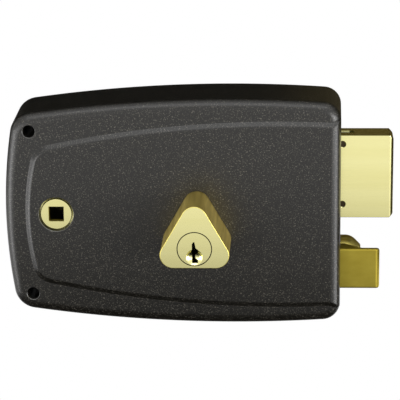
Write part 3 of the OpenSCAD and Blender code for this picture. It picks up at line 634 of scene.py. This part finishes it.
# %% [markdown]
# All openings are cut at once. The round holes that show have a flared mouth, because a sharp edge
# doesn't hold paint. Even so the paint wears off there, and the bare zinc draws a thin rim.

# %% Openings of the cover
FOLLOWER_HOLE_R, PLUNGER_R = 7.2, 5.5
FLARE = 0.18
TRIANGLE_GAP = 0.1
panel_y = -LEDGE_Y - PANEL_RAISE
plunger_low, plunger_high = corners("guard_plunger")
plunger_axis = (plunger_low + plunger_high) / 2
tools = [peg(x, z, FIXING_R, PAST, -LEDGE_Y, FLARE) for x, z in FIXINGS]
tools += [peg(x, z, POST_BORE_R, PAST, ROOF_Y + POST_BORE_R) for x, z in POSTS]
tools += [peg(hub_axis.x, hub_axis.z, FOLLOWER_HOLE_R, ROOF_Y + PAST, panel_y, FLARE)]
tools += [triangle_bar("triangle", TRIANGLE_GAP, ROOF_Y + PAST, panel_y - PAST)]
tools += [slot_for("deadbolt_head"), slot_for("latch_bolt")]
tools += [rod("plunger bore", plunger_axis, PLUNGER_R + SLOT_GAP, right_x - SLOT_DEEP, right_x + PAST)]
combine(cover, "DIFFERENCE", tools)
finish_piece(cover, "case_cover")
refinish(cover, worn_zinc, hub_axis, (FOLLOWER_HOLE_R, FOLLOWER_HOLE_R + FLARE), CHAMFER_FACING, panel_y)
for x, z in FIXINGS:
    refinish(cover, worn_zinc, Vector((x, 0, z)), (FIXING_R, FIXING_R + FLARE), CHAMFER_FACING, -LEDGE_Y)

# %% [markdown]
# The cylinder's housing is a drawn brass bar of rounded triangular section, sawn to length, with a
# chamfered front edge and a flange that is screwed to the cover from inside. The plug turns in a
# bore through it, and five chambers above the bore hold the pins and springs. Only its face is
# polished: the sides keep the satin of the drawing die, and the seam round the plug is painted
# dark, as painted shade in the gap.

# %% Cylinder housing
CYLINDER_CHAMFER, CHAMFER_STEPS = 0.3, 3
FLANGE_T, FLANGE_GROW = 3.0, 3.5
EAR_R, EAR_X, EAR_Z, EAR_STEPS = 5.0, 19.0, -4.0, 16
EAR_HOLE_R = 1.8
PLUG_R, FACE_R, FACE_T = 6.4, 6.9, 2.0
FIT, SEAM, MOUTH = 0.05, 0.1, 0.15
PINS, PIN_PITCH, PIN_FIRST, CHAMBER_R, CHAMBER_STEPS = 5, 3.9, 6.5, 1.35, 24
ROD_R, ROD_UP, ROD_SHORT = 1.6, 14.6, 3.0
face_y = corners("cylinder_body")[0].y


def chambers(top):
    """The row of pin chambers, as upright round tools from the plug axis to a height above it."""
    tools = []
    for i in range(PINS):
        bm = bmesh.new()
        bmesh.ops.create_cone(bm, cap_ends=True, segments=CHAMBER_STEPS, radius1=CHAMBER_R,
                              radius2=CHAMBER_R, depth=top)
        spot = (plug_axis.x, face_y + PIN_FIRST + i * PIN_PITCH, plug_axis.z + top / 2)
        bmesh.ops.translate(bm, vec=spot, verts=bm.verts)
        tools.append(block_out("chamber", bm))
    return tools


def ear_bar():
    """The flange's cross bar, with round ends at the two ears."""
    right, left = [Vector((plug_axis.x + s * EAR_X, plug_axis.z + EAR_Z)) for s in (1, -1)]
    arcs = [(right, EAR_R, -90, 180, EAR_STEPS), (left, EAR_R, 90, 180, EAR_STEPS)]
    bm, _ = slab(arcs, ROOF_Y + FLANGE_T, FLANGE_T)
    return block_out("ears", bm)


def cylinder_housing():
    low, high = corners("cylinder_body")
    bm, front = slab(triangle_arcs(0), high.y, high.y - low.y)
    rounded(bm, front.edges[:], CYLINDER_CHAMFER, CHAMFER_STEPS)
    housing = block_out("cylinder_housing", bm)
    combine(housing, "UNION", [triangle_bar("flange", FLANGE_GROW, ROOF_Y + FLANGE_T, ROOF_Y), ear_bar()])
    step, face = low.y + FACE_T + FIT, FACE_R + SEAM
    bore = [(0, high.y + PAST), (PLUG_R + FIT, high.y + PAST), (PLUG_R + FIT, step), (face, step),
            (face, low.y + MOUTH), (face + MOUTH, low.y), (face + MOUTH, low.y - PAST), (0, low.y - PAST)]
    ear_y, ear_z = ROOF_Y + FLANGE_T + PAST, plug_axis.z + EAR_Z
    tools = [turned("bore", plug_axis, "Y", bore, FINE_STEPS)]
    tools += [peg(plug_axis.x, plug_axis.z + ROD_UP, ROD_R, high.y + PAST, low.y + ROD_SHORT)]
    tools += [peg(plug_axis.x + s * EAR_X, ear_z, EAR_HOLE_R, ear_y, ROOF_Y - PAST) for s in sides]
    return combine(housing, "DIFFERENCE", tools + chambers(ROD_UP))


housing = finish_piece(cylinder_housing(), "cylinder_body")
all_over = (0, 2 * EAR_X)
refinish(housing, turned_brass, plug_axis, all_over, CHAMFER_FACING, face_y)
refinish(housing, satin_brass, plug_axis, all_over, SIDE_FACING, face_y)
# painted shade: the seam's walls round the plug are painted almost black
refinish(housing, painted_shade_brass, plug_axis, (FACE_R, FACE_R + SEAM + MOUTH), CHAMFER_FACING, face_y)

# %% [markdown]
# The plug is a turned brass barrel with a wider front disc. Its keyway is a slot with wards on both
# sides, so that only a key of the same section goes in, and a hollow dished round its foot leads
# the key to it. The dish is cut with a ball, and the slot is a short zigzag pulled through. The walls
# of the keyway and of the plug's other holes, and the edge of the disc, are painted dark as shade.

# %% Key plug
CLIP_R, CLIP_AT, CLIP_W = 5.4, 0.3, 1.1
DISH_R, DISH_OUT, DISH_Z, DISH_STEPS = 4.5, 3.0, -3.5, 32
KEYWAY_DEEP = 33.0
KEYWAY = ((-1.0, 2.0), (-0.5, 2.9), (0.1, 2.9), (0.5, 0.4), (1.6, -0.4), (1.6, -1.9), (0.3, -2.6),
          (0.3, -4.0), (1.4, -4.8), (1.4, -6.0), (-1.0, -6.0), (-1.0, -2.4), (-1.5, -1.9), (-1.5, -1.1),
          (-1.0, -0.6))
TAIL_W, TAIL_T, TAIL_IN = 6.1, 1.9, 4.0


def plug_barrel(low, high):
    """The plug's turned form, with its front disc and the groove of its clip."""
    clip, disc = high.y - CLIP_AT, low.y + FACE_T
    profile = [(0, high.y), (PLUG_R, high.y), (PLUG_R, clip), (CLIP_R, clip), (CLIP_R, clip - CLIP_W),
               (PLUG_R, clip - CLIP_W), (PLUG_R, disc), (FACE_R, disc), (FACE_R, low.y + MOUTH),
               (FACE_R - MOUTH, low.y), (0, low.y)]
    return turned("key_plug_brass", plug_axis, "Y", profile, FINE_STEPS)


def key_plug():
    low, high = corners("key_plug")
    bm = bmesh.new()
    back = low.y + KEYWAY_DEEP
    slot = bm.faces.new([bm.verts.new((plug_axis.x + x, back, plug_axis.z + z)) for x, z in KEYWAY])
    pull(bm, slot, (0, -KEYWAY_DEEP - PAST, 0))
    keyway = block_out("keyway", bm)
    bm = bmesh.new()
    bmesh.ops.create_uvsphere(bm, u_segments=2 * DISH_STEPS, v_segments=DISH_STEPS, radius=DISH_R)
    bmesh.ops.translate(bm, vec=(plug_axis.x, low.y - DISH_OUT, plug_axis.z + DISH_Z), verts=bm.verts)
    dish = block_out("dish", bm)
    tail = box_tool((plug_axis.x, high.y - TAIL_IN, plug_axis.z), (plug_axis.x, high.y + PAST, plug_axis.z),
                    (TAIL_W / 2, 0, TAIL_T / 2))
    return combine(plug_barrel(low, high), "DIFFERENCE", [keyway, dish, tail] + chambers(PLUG_R + PAST))


plug = finish_piece(key_plug(), "key_plug")
# painted shade inside the keyway and the plug's other holes, and on the disc's edge at the seam
refinish(plug, painted_shade_brass, plug_axis, (0, CLIP_R - FIT), SIDE_FACING, face_y)
refinish(plug, painted_shade_brass, plug_axis, (FACE_R - MOUTH, FACE_R), CHAMFER_FACING, face_y)

# %% [markdown]
# The follower takes the square spindle of the door handles. It is a turned brass hub with a collar
# behind the cover. The square is only as long as it has to be at the front and the back: between
# them the hub is cored out round, which with painted shade on its walls is why the hole looks black
# from the front. The square's short front walls are broached and dull, and the walls behind them are painted
# almost black as shade.

# %% Follower
HUB_R, HUB_EDGE, COLLAR_R, COLLAR_T, COLLAR_BACK = 6.6, 0.3, 9.0, 3.0, 0.3
JOURNAL_R, JOURNAL_Y = 6.0, -2.3
SPINDLE, SPINDLE_EDGE, SPINDLE_SIDES = 6.0, 0.25, 4
CORE_R, CORE_FRONT, CORE_BACK = 4.6, 3.0, 8.0
hub_y = corners("follower_hub")[0].y


def square_bar(back):
    """The spindle's square with a flared mouth: four steps of a spin, turned to stand on a flat side."""
    reach = SPINDLE / 2 ** 0.5
    wide = reach + SPINDLE_EDGE
    profile = [(0, back), (reach, back), (reach, hub_y + SPINDLE_EDGE), (wide, hub_y),
               (wide, hub_y - PAST), (0, hub_y - PAST)]
    square = turned("square", hub_axis, "Y", profile, SPINDLE_SIDES)
    about = Matrix.Translation(hub_axis)
    square.data.transform(about @ Matrix.Rotation(radians(45), 4, "Y") @ about.inverted())
    return square


def follower():
    back, collar = corners("follower_hub")[1].y, ROOF_Y + COLLAR_BACK
    profile = [(0, back), (JOURNAL_R, back), (JOURNAL_R, JOURNAL_Y), (HUB_R, JOURNAL_Y),
               (HUB_R, collar + COLLAR_T), (COLLAR_R, collar + COLLAR_T), (COLLAR_R, collar),
               (HUB_R, collar), (HUB_R, hub_y + HUB_EDGE), (HUB_R - HUB_EDGE, hub_y), (0, hub_y)]
    piece = turned("follower_hub_brass", hub_axis, "Y", profile, FINE_STEPS)
    core = peg(hub_axis.x, hub_axis.z, CORE_R, -CORE_BACK, hub_y + CORE_FRONT)
    return combine(piece, "DIFFERENCE", [core, square_bar(back + PAST)])


hub = finish_piece(follower(), "follower_hub")
refinish(hub, cast_brass, hub_axis, (0, CORE_R), SIDE_FACING, hub_y)
# painted shade on the walls of the hole behind its short front stretch
refinish(hub, painted_shade_brass, hub_axis, (0, CORE_R), SIDE_FACING, hub_y + CORE_FRONT)

# %% [markdown]
# The deadbolt is a block of brass. Its outer corners are sawn off at an angle, the two long edges of
# its end are rounded so that it finds the keeper, and every other edge is only broken. The steel tail
# lies in a slot that is open at the top, with a little room at its end, and two cross pins hold it.

# %% Deadbolt
BOLT_CORNER, BOLT_ROUND, BOLT_STEPS = 1.5, 1.6, 6
BROKEN, BROKEN_STEPS = 0.25, 2
BOLT_PIN_R = 1.25
TAIL_FLOOR, TAIL_ROOM, TAIL_GAP = 2.8, 1.8, 0.2
CREASE = 40  # degrees from which an edge counts as sharp


def break_edges(bm, width):
    """Rounds every edge that is still sharp by a small width."""
    sharp = [e for e in bm.edges if e.is_manifold and e.calc_face_angle() > radians(CREASE)]
    rounded(bm, sharp, width, BROKEN_STEPS)


def saw_off(bm, point, normal):
    """Cuts away what lies beyond a plane and closes the cut."""
    whole = bm.verts[:] + bm.edges[:] + bm.faces[:]
    cut = bmesh.ops.bisect_plane(bm, geom=whole, plane_co=point, plane_no=normal, clear_outer=True)
    rim = [g for g in cut["geom_cut"] if isinstance(g, bmesh.types.BMEdge)]
    bmesh.ops.contextual_create(bm, geom=rim)


def deadbolt():
    low, high = corners("deadbolt_head")
    bm = block(low, high)
    upright = [e for e in bm.edges if all(abs(v.co.x - high.x) < MERGE for v in e.verts)
               and abs(e.verts[0].co.y - e.verts[1].co.y) < MERGE]
    rounded(bm, upright, BOLT_ROUND, BOLT_STEPS)
    saw_off(bm, (high.x - BOLT_CORNER, 0, high.z), (1, 0, 1))
    saw_off(bm, (high.x - BOLT_CORNER, 0, low.z), (1, 0, -1))
    break_edges(bm, BROKEN)
    bolt = block_out("deadbolt_brass", bm)
    tail_low, tail_high = corners("deadbolt_tail")
    slot = box_tool((low.x - PAST, tail_low.y, low.z + TAIL_FLOOR),
                    (tail_high.x + TAIL_ROOM, tail_high.y, high.z + PAST), (0, FIT, 0))
    pins_low, pins_high = corners("bolt_pins")
    pin_x = (pins_low.x + pins_high.x) / 2
    holes = [peg(pin_x, z, BOLT_PIN_R, high.y + PAST, low.y, BROKEN)
             for z in (pins_low.z + BOLT_PIN_R, pins_high.z - BOLT_PIN_R)]
    return combine(bolt, "DIFFERENCE", [slot] + holes)


finish_piece(deadbolt(), "deadbolt_head")

# %% [markdown]
# The latch is a tumbled casting, flat in front and bevelled behind, so that the closing door pushes
# it in. Seen from above it is one outline, pulled up to its height, with all edges worn soft.

# %% Latch
NOSE_T, NOSE_L, BEVEL_L, NOSE_CUT = 2.6, 7.0, 7.0, 0.8
LATCH_BROKEN = 1.0
DRAW_PIN_R, DRAW_H = 1.5, 5.5
LATCH_ROD_R, LATCH_ROD_IN = 2.5, 8.0


def latch_block(low, high):
    """The latch's solid form, from its plan pulled up to its height."""
    nose = high.x - NOSE_L
    plan = [(low.x, low.y), (high.x - NOSE_CUT, low.y), (high.x, low.y + NOSE_CUT), (high.x, low.y + NOSE_T),
            (nose, low.y + NOSE_T), (nose - BEVEL_L, high.y), (low.x, high.y)]
    bm = bmesh.new()
    foot = bm.faces.new([bm.verts.new((x, y, low.z)) for x, y in plan])
    pull(bm, foot, (0, 0, high.z - low.z))
    break_edges(bm, LATCH_BROKEN)
    return block_out("latch_cast", bm)


def latch():
    low, high = corners("latch_bolt")
    bar_low, bar_high = corners("latch_drawbar")
    pin_low, pin_high = corners("drawbar_pin")
    rod_low, rod_high = corners("latch_rod")
    pin, rod_axis = (pin_low + pin_high) / 2, (rod_low + rod_high) / 2
    slot = box_tool((low.x - PAST, bar_low.y, pin.z), (bar_high.x + TAIL_GAP, bar_high.y, pin.z),
                    (0, FIT, DRAW_H / 2 + FIT))
    hole = peg(pin.x, pin.z, DRAW_PIN_R, high.y + PAST, pin_low.y)
    bore = rod("rod bore", rod_axis, LATCH_ROD_R, low.x - PAST, low.x + LATCH_ROD_IN)
    return combine(latch_block(low, high), "DIFFERENCE", [slot, hole, bore])


finish_piece(latch(), "latch_bolt")

# %% [markdown]
# The guard plunger is a turned pin with a blunt cone for a nose and a collar that stops it. Its
# shoulder is rounded where the cone starts. The profile is drawn from the spring pocket outwards
# and spun about the pin's own axis. It is left as the lathe made it, not polished.

# %% Guard plunger
STOP_R, STOP_T = 6.0, 1.8
POCKET_R, POCKET_L = 3.4, 16.0
NOSE_R, NOSE_ROUND = 1.4, 0.4
SHOULDER_R, CONE, SHOULDER_STEP = 6.0, 45, 5
PLUNGER_STEPS = 64


def plunger():
    start, end = plunger_low.x, plunger_high.x
    shoulder = end - (PLUNGER_R - NOSE_R) - SHOULDER_R * tan(radians(CONE / 2))
    profile = [(0, start + POCKET_L), (POCKET_R, start + POCKET_L), (POCKET_R, start), (STOP_R, start),
               (STOP_R, start + STOP_T), (PLUNGER_R, start + STOP_T)]
    profile += [(PLUNGER_R - SHOULDER_R * (1 - cos(radians(a))), shoulder + SHOULDER_R * sin(radians(a)))
                for a in range(0, CONE + 1, SHOULDER_STEP)]
    profile += [(NOSE_R + NOSE_ROUND, end - NOSE_ROUND), (NOSE_R, end - NOSE_ROUND / 4),
                (NOSE_R - NOSE_ROUND, end), (0, end)]
    return turned("guard_plunger_brass", plunger_axis, "X", profile, PLUNGER_STEPS)


guard = finish_piece(plunger(), "guard_plunger")
guard.data.materials[0] = turned_brass

# %% [markdown]
# Springs of three sorts work inside: one on the latch's rod, one in the plunger's pocket and a short
# one above each driver pin. The CAD model has plain tubes of their size. Here each is wound from wire:
# a small ring is spun about the axis while it climbs, and the first and last turn lie close, so that
# the spring stands straight.

# %% Springs
WIRE_SIDES, TURN_STEPS, CLOSE_RISE = 8, 20, 1.1
BOLT_WIRE, LATCH_TURNS, PLUNGER_TURNS = 0.8, 9, 12
PIN_WIRE, PIN_TURNS = 0.3, 6


def coil(name, radius, wire, length, turns, place):
    """A spring wound about Z from its foot up, with close end turns, then put in its place by a matrix."""
    bm = bmesh.new()
    across = Matrix.Translation((radius - wire / 2, 0, wire / 2)) @ Matrix.Rotation(radians(90), 4, "X")
    bmesh.ops.create_circle(bm, segments=WIRE_SIDES, radius=wire / 2, matrix=across)
    ring = bm.verts[:] + bm.edges[:]
    close = CLOSE_RISE * wire
    wide = (length - wire - 2 * close) / (turns - 2)
    for count, rise in ((1, close), (turns - 2, wide), (1, close)):
        ring = bmesh.ops.spin(bm, geom=ring, cent=(0, 0, 0), axis=(0, 0, 1), dvec=(0, 0, rise / TURN_STEPS),
                              angle=radians(360 * count), steps=count * TURN_STEPS)["geom_last"]
    bmesh.ops.holes_fill(bm, edges=[e for e in bm.edges if e.is_boundary], sides=WIRE_SIDES)
    bmesh.ops.transform(bm, matrix=place, verts=bm.verts)
    return block_out(name, bm)


def bolt_spring(name, node, turns):
    """A spring along X, wound from its seat at the left."""
    low, high = corners(node)
    length = high.x - low.x
    seat = Vector((low.x, (low.y + high.y) / 2, (low.z + high.z) / 2))
    lying = Matrix.Translation(seat) @ Matrix.Rotation(radians(90), 4, "Y")
    piece = finish_piece(coil(name, (high.z - low.z) / 2, BOLT_WIRE, length, turns, lying), node)
    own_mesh(piece)


def pin_springs():
    low, high = corners("pin_springs")
    radius, length = (high.x - low.x) / 2, high.z - low.z
    pitch = (high.y - low.y - 2 * radius) / (PINS - 1)
    seats = [Vector((plug_axis.x, low.y + radius + i * pitch, low.z)) for i in range(PINS)]
    first, *others = [coil("pin_springs_wire", radius, PIN_WIRE, length, PIN_TURNS, Matrix.Translation(seat))
                      for seat in seats]
    return combine(first, "UNION", others)


bolt_spring("latch_spring_wire", "latch_spring", LATCH_TURNS)
bolt_spring("plunger_spring_wire", "plunger_spring", PLUNGER_TURNS)
finish_piece(pin_springs(), "pin_springs")

# %% [markdown]
# From behind, the lock shows its zinc-plated back plate, a blanking of 2 mm sheet with slightly rounded
# edges. The outline is the case's own, with each arc drawn in by the wall and a gap.

# %% Back plate
PLATE_IN, PLATE_T, PLATE_EDGE = 2.7, 2.0, 0.25
NUT_PITCH, NUT_CORE_R = 36.0, 2.1
DRIVE_HUB_R = 4.6
HEAD_R, HEAD_H, HEAD_SUNK, SCREW_L, HEAD_GAP = 3.0, 1.6, 0.1, 12.0, 0.1


def screw(x, z, grow):
    """A countersunk screw from behind, or the tool for its seat, grown by an amount."""
    top, head, shank = grow - HEAD_SUNK, HEAD_R + grow, POST_BORE_R + grow
    above = [(0, top + PAST), (head, top + PAST)] if grow else [(0, top)]
    below = [(head, top), (shank, top - HEAD_H), (shank, top - SCREW_L), (0, top - SCREW_L)]
    return turned("screw", (x, 0, z), "Y", above + below, ROUND_STEPS)


def back_plate():
    drawn_in = [(c, r - PLATE_IN, start, turn, steps) for c, r, start, turn, steps in case_outline]
    bm, _ = slab(drawn_in, 0, PLATE_T)
    break_edges(bm, PLATE_EDGE)
    plate = block_out("back_plate_zinc", bm)
    wheel = joint_axis("reduction_turn")
    posts_low, posts_high = corners("bolt_guide_posts")
    guide_r = (posts_high.z - posts_low.z) / 2 - PLATE_T
    spots = [(x, z, FIXING_R) for x, z in FIXINGS]
    spots += [(plug_axis.x + s * NUT_PITCH / 2, plug_axis.z, NUT_CORE_R) for s in sides]
    spots += [(hub_axis.x, hub_axis.z, JOURNAL_R + FIT), (plug_axis.x, plug_axis.z, DRIVE_HUB_R + FIT)]
    spots += [(wheel.x, wheel.z, PLATE_T)]
    spots += [(x, (posts_low.z + posts_high.z) / 2, guide_r)
              for x in (posts_low.x + PLATE_T + guide_r, posts_high.x - PLATE_T - guide_r)]
    tools = [peg(x, z, r, PAST, -PLATE_T - PAST) for x, z, r in spots]
    return combine(plate, "DIFFERENCE", tools + [screw(x, z, HEAD_GAP) for x, z in POSTS])


finish_piece(back_plate(), "back_plate")

# %% [markdown]
# Four countersunk screws hold the plate to the posts of the cover. Their heads lie a little below the
# plate, so that they don't mark the door, and two crossed bars cut the recess for the screwdriver.

# %% Plate screws
RECESS_L, RECESS_W, RECESS_D = 3.2, 0.7, 0.9


def plate_screws():
    first, *others = [screw(x, z, 0) for x, z in POSTS]
    bars = [box_tool((x, -HEAD_SUNK - RECESS_D, z), (x, PAST, z), (a / 2, 0, b / 2))
            for x, z in POSTS for a, b in ((RECESS_L, RECESS_W), (RECESS_W, RECESS_L))]
    combine(first, "UNION", others)
    combine(first, "DIFFERENCE", bars)
    first.name = "plate_screws_zinc"
    return first


finish_piece(plate_screws(), "plate_screws")

# %% [markdown]
# The camera stands where the photographer stood: a little above the lock and a little to the bolt
# side, with a long lens that keeps the case's edges almost parallel. Its roll makes the case look
# level, as it does in the picture. From here on places are in metres.

# %% Camera
AIM = Vector((11.58, -31.5, 5.91)) * MM
DISTANCE, NEAREST = 0.854, 0.01
AZIMUTH, ELEVATION, ROLL = 2.66, 14.92, -0.56
LENS = 186.5
flat = cos(radians(ELEVATION))
away = Vector((sin(radians(AZIMUTH)) * flat, -cos(radians(AZIMUTH)) * flat, sin(radians(ELEVATION))))
lens = bpy.data.cameras.new("camera")
lens.lens = LENS
lens.clip_start = NEAREST
camera = show("camera", lens)
camera.location = AIM + DISTANCE * away
turn = (-away).to_track_quat("-Z", "Y") @ Matrix.Rotation(radians(ROLL), 3, "Z").to_quaternion()
camera.rotation_euler = turn.to_euler()
bpy.context.scene.camera = camera
print("camera at", [round(v, 3) for v in camera.location])

# %% [markdown]
# The studio is plain. A surround is white to the camera and to the metal that mirrors it, and only
# grey as a light, so that the lamps keep their say. A soft lamp hangs above and in front, two stand
# low at the sides, and two narrow ones in front draw the light along the case's corners.

# %% Surround and lamps
world = bpy.data.worlds.new("studio")
bpy.context.scene.world = world
world.use_nodes = True
sky = world.node_tree
path = add(sky, "LightPath")
mirror = add(sky, "Math", {
    0: path.outputs["Is Glossy Ray"], 1: path.outputs["Is Transmission Ray"]}, operation="MAXIMUM")
seen = add(sky, "Math", {0: path.outputs["Is Camera Ray"], 1: mirror.outputs[0]}, operation="MAXIMUM")
light = add(sky, "Mix", {
    0: seen.outputs[0], MIX_A: linear("#525252"), MIX_B: linear("#ffffff")}, data_type="RGBA")
feed(sky, sky.nodes["Background"], {"Color": light.outputs[MIX_COLOUR]})
lamps = (("overhead", (0.0, -0.45, 0.78), 0.9, 0.4, 2.3),
         ("left", (-0.95, -0.38, -0.18), 0.5, 0.5, 4.0),
         ("right", (0.95, -0.38, -0.18), 0.5, 0.5, 4.4),
         ("corner", (0.66, -0.7, 0.045), 0.5, 0.14, 4.6),
         ("corner_left", (-0.6, -0.75, 0.05), 0.6, 0.14, 1.8))
for name, place, width, height, watts in lamps:
    data = bpy.data.lights.new(name, "AREA")
    data.shape = "RECTANGLE"
    data.size = width
    data.size_y = height
    data.energy = watts
    lamp = show(name, data)
    lamp.location = place
    lamp.rotation_euler = (AIM - Vector(place)).to_track_quat("-Z", "Y").to_euler()
print("lamps:", len(lamps))

# %% [markdown]
# Bright metal is only as good as what it mirrors. Dark cards that the camera doesn't see give the
# brass its dark edges and keep the case's top dark: black ones behind, above and below, and brown
# ones beside the bolt, whose top and end mirror them. One more stands low in front and fades out
# upwards, so that the panel darkens softly towards its foot.

# %% Cards
CARD_CLOUD, CARD_MATT = 60, 0.9
LOW_CARD_Y, LOW_CARD_Z, LOW_CARD_FULL, LOW_CARD_END = -0.16, -0.6, 0.5, 0.595


def stage_material(name, pale, deep):
    """Matt card with a faint change of tone."""
    material, tree, shader, place = new_material(name)
    _, tone = clouded(tree, place, CARD_CLOUD, 2.0, deep, pale)
    feed(tree, shader, {"Base Color": tone, "Roughness": CARD_MATT, "Specular IOR Level": 0.0})
    return material


def fade_out(material, centre, full, clear):
    """Lets a stage material fade with the distance from a centre: solid up to one reach, gone at another."""
    tree = material.node_tree
    place = tree.nodes["Texture Coordinate"].outputs["Object"]
    far = add(tree, "VectorMath", {0: place, 1: centre}, operation="DISTANCE")
    fade = add(tree, "MapRange", {
        "Value": far.outputs["Value"], "From Min": full, "From Max": clear, "To Min": 1.0, "To Max": 0.0},
        interpolation_type="SMOOTHSTEP")
    feed(tree, tree.nodes["Principled BSDF"], {"Alpha": fade.outputs["Result"]})


def card(name, middle, across, up, material):
    """A flat card on the stage, between half steps across and up from its middle."""
    bm = bmesh.new()
    bmesh.ops.create_grid(bm, x_segments=1, y_segments=1, size=1)
    across, up = Vector(across), Vector(up)
    matrix = Matrix((across, up, across.cross(up))).transposed().to_4x4()
    bmesh.ops.transform(bm, matrix=Matrix.Translation(middle) @ matrix, verts=bm.verts)
    piece = block_out(name, bm)
    piece.data.materials.append(material)
    return piece


black_card = stage_material("black_card", "#0c0c0b", "#080808")
brown_card = stage_material("brown_card", "#5a5030", "#50462a")
low_card = stage_material("fading_card", "#0c0c0b", "#080808")
fade_out(low_card, (0, LOW_CARD_Y, LOW_CARD_Z), LOW_CARD_FULL, LOW_CARD_END)
cards = (("card_behind", (-0.42, 0.28, 0.3), (0.48, 0, 0), (0, 0, 0.4), black_card),
         ("card_behind_bolt", (0.5, 0.28, 0.3), (0.44, 0, 0), (0, 0, 0.4), brown_card),
         ("card_above", (0, 0.37, 0.6), (0.9, 0, 0), (0, 0.21, 0), black_card),
         ("card_right", (0.6, 0.2, 0.0), (0, 0.25, 0), (0, 0, 0.4), brown_card),
         ("card_bolt_end", (0.112, -0.0295, 0.004), (0.0036, 0.01, 0), (0, 0, 0.035), brown_card),
         ("card_below", (0, -0.1, -0.17), (0.3, 0, 0), (0, 0.15, 0), black_card),
         ("card_front", (0.02, LOW_CARD_Y, -0.2), (0.22, 0, 0), (0, 0, 0.19), low_card))
for name, middle, across, up, material in cards:
    card(name, middle, across, up, material).visible_camera = False
print("cards:", len(cards))

# %% [markdown]
# The floor is a pale sheet well below the lock. It keeps the lock's shadow, and it fades out round its
# rim, so that it passes into the white behind it. A part of its white is given to the camera alone,
# because more light on it would also be more light on the lock.

# %% Floor
FLOOR_Z, FLOOR_CLEAR, FLOOR_END, FLOOR_PALE = -0.25, 0.2, 0.4, 0.65
sheet = stage_material("pale_floor", "#fbfbfa", "#f4f4f2")
fade_out(sheet, (0, 0, FLOOR_Z), FLOOR_CLEAR, FLOOR_END)
tree = sheet.node_tree
path = add(tree, "LightPath")
seen = add(tree, "Math", {0: path.outputs["Is Camera Ray"], 1: FLOOR_PALE}, operation="MULTIPLY")
feed(tree, tree.nodes["Principled BSDF"], {
    "Emission Color": linear("#ffffff"), "Emission Strength": seen.outputs[0]})
card("floor", (0, 0, FLOOR_Z), (FLOOR_END, 0, 0), (0, FLOOR_END, 0), sheet)
bpy.context.scene.view_settings.view_transform = "Standard"
print("floor", FLOOR_Z, "m from the lock's middle, view", bpy.context.scene.view_settings.view_transform)
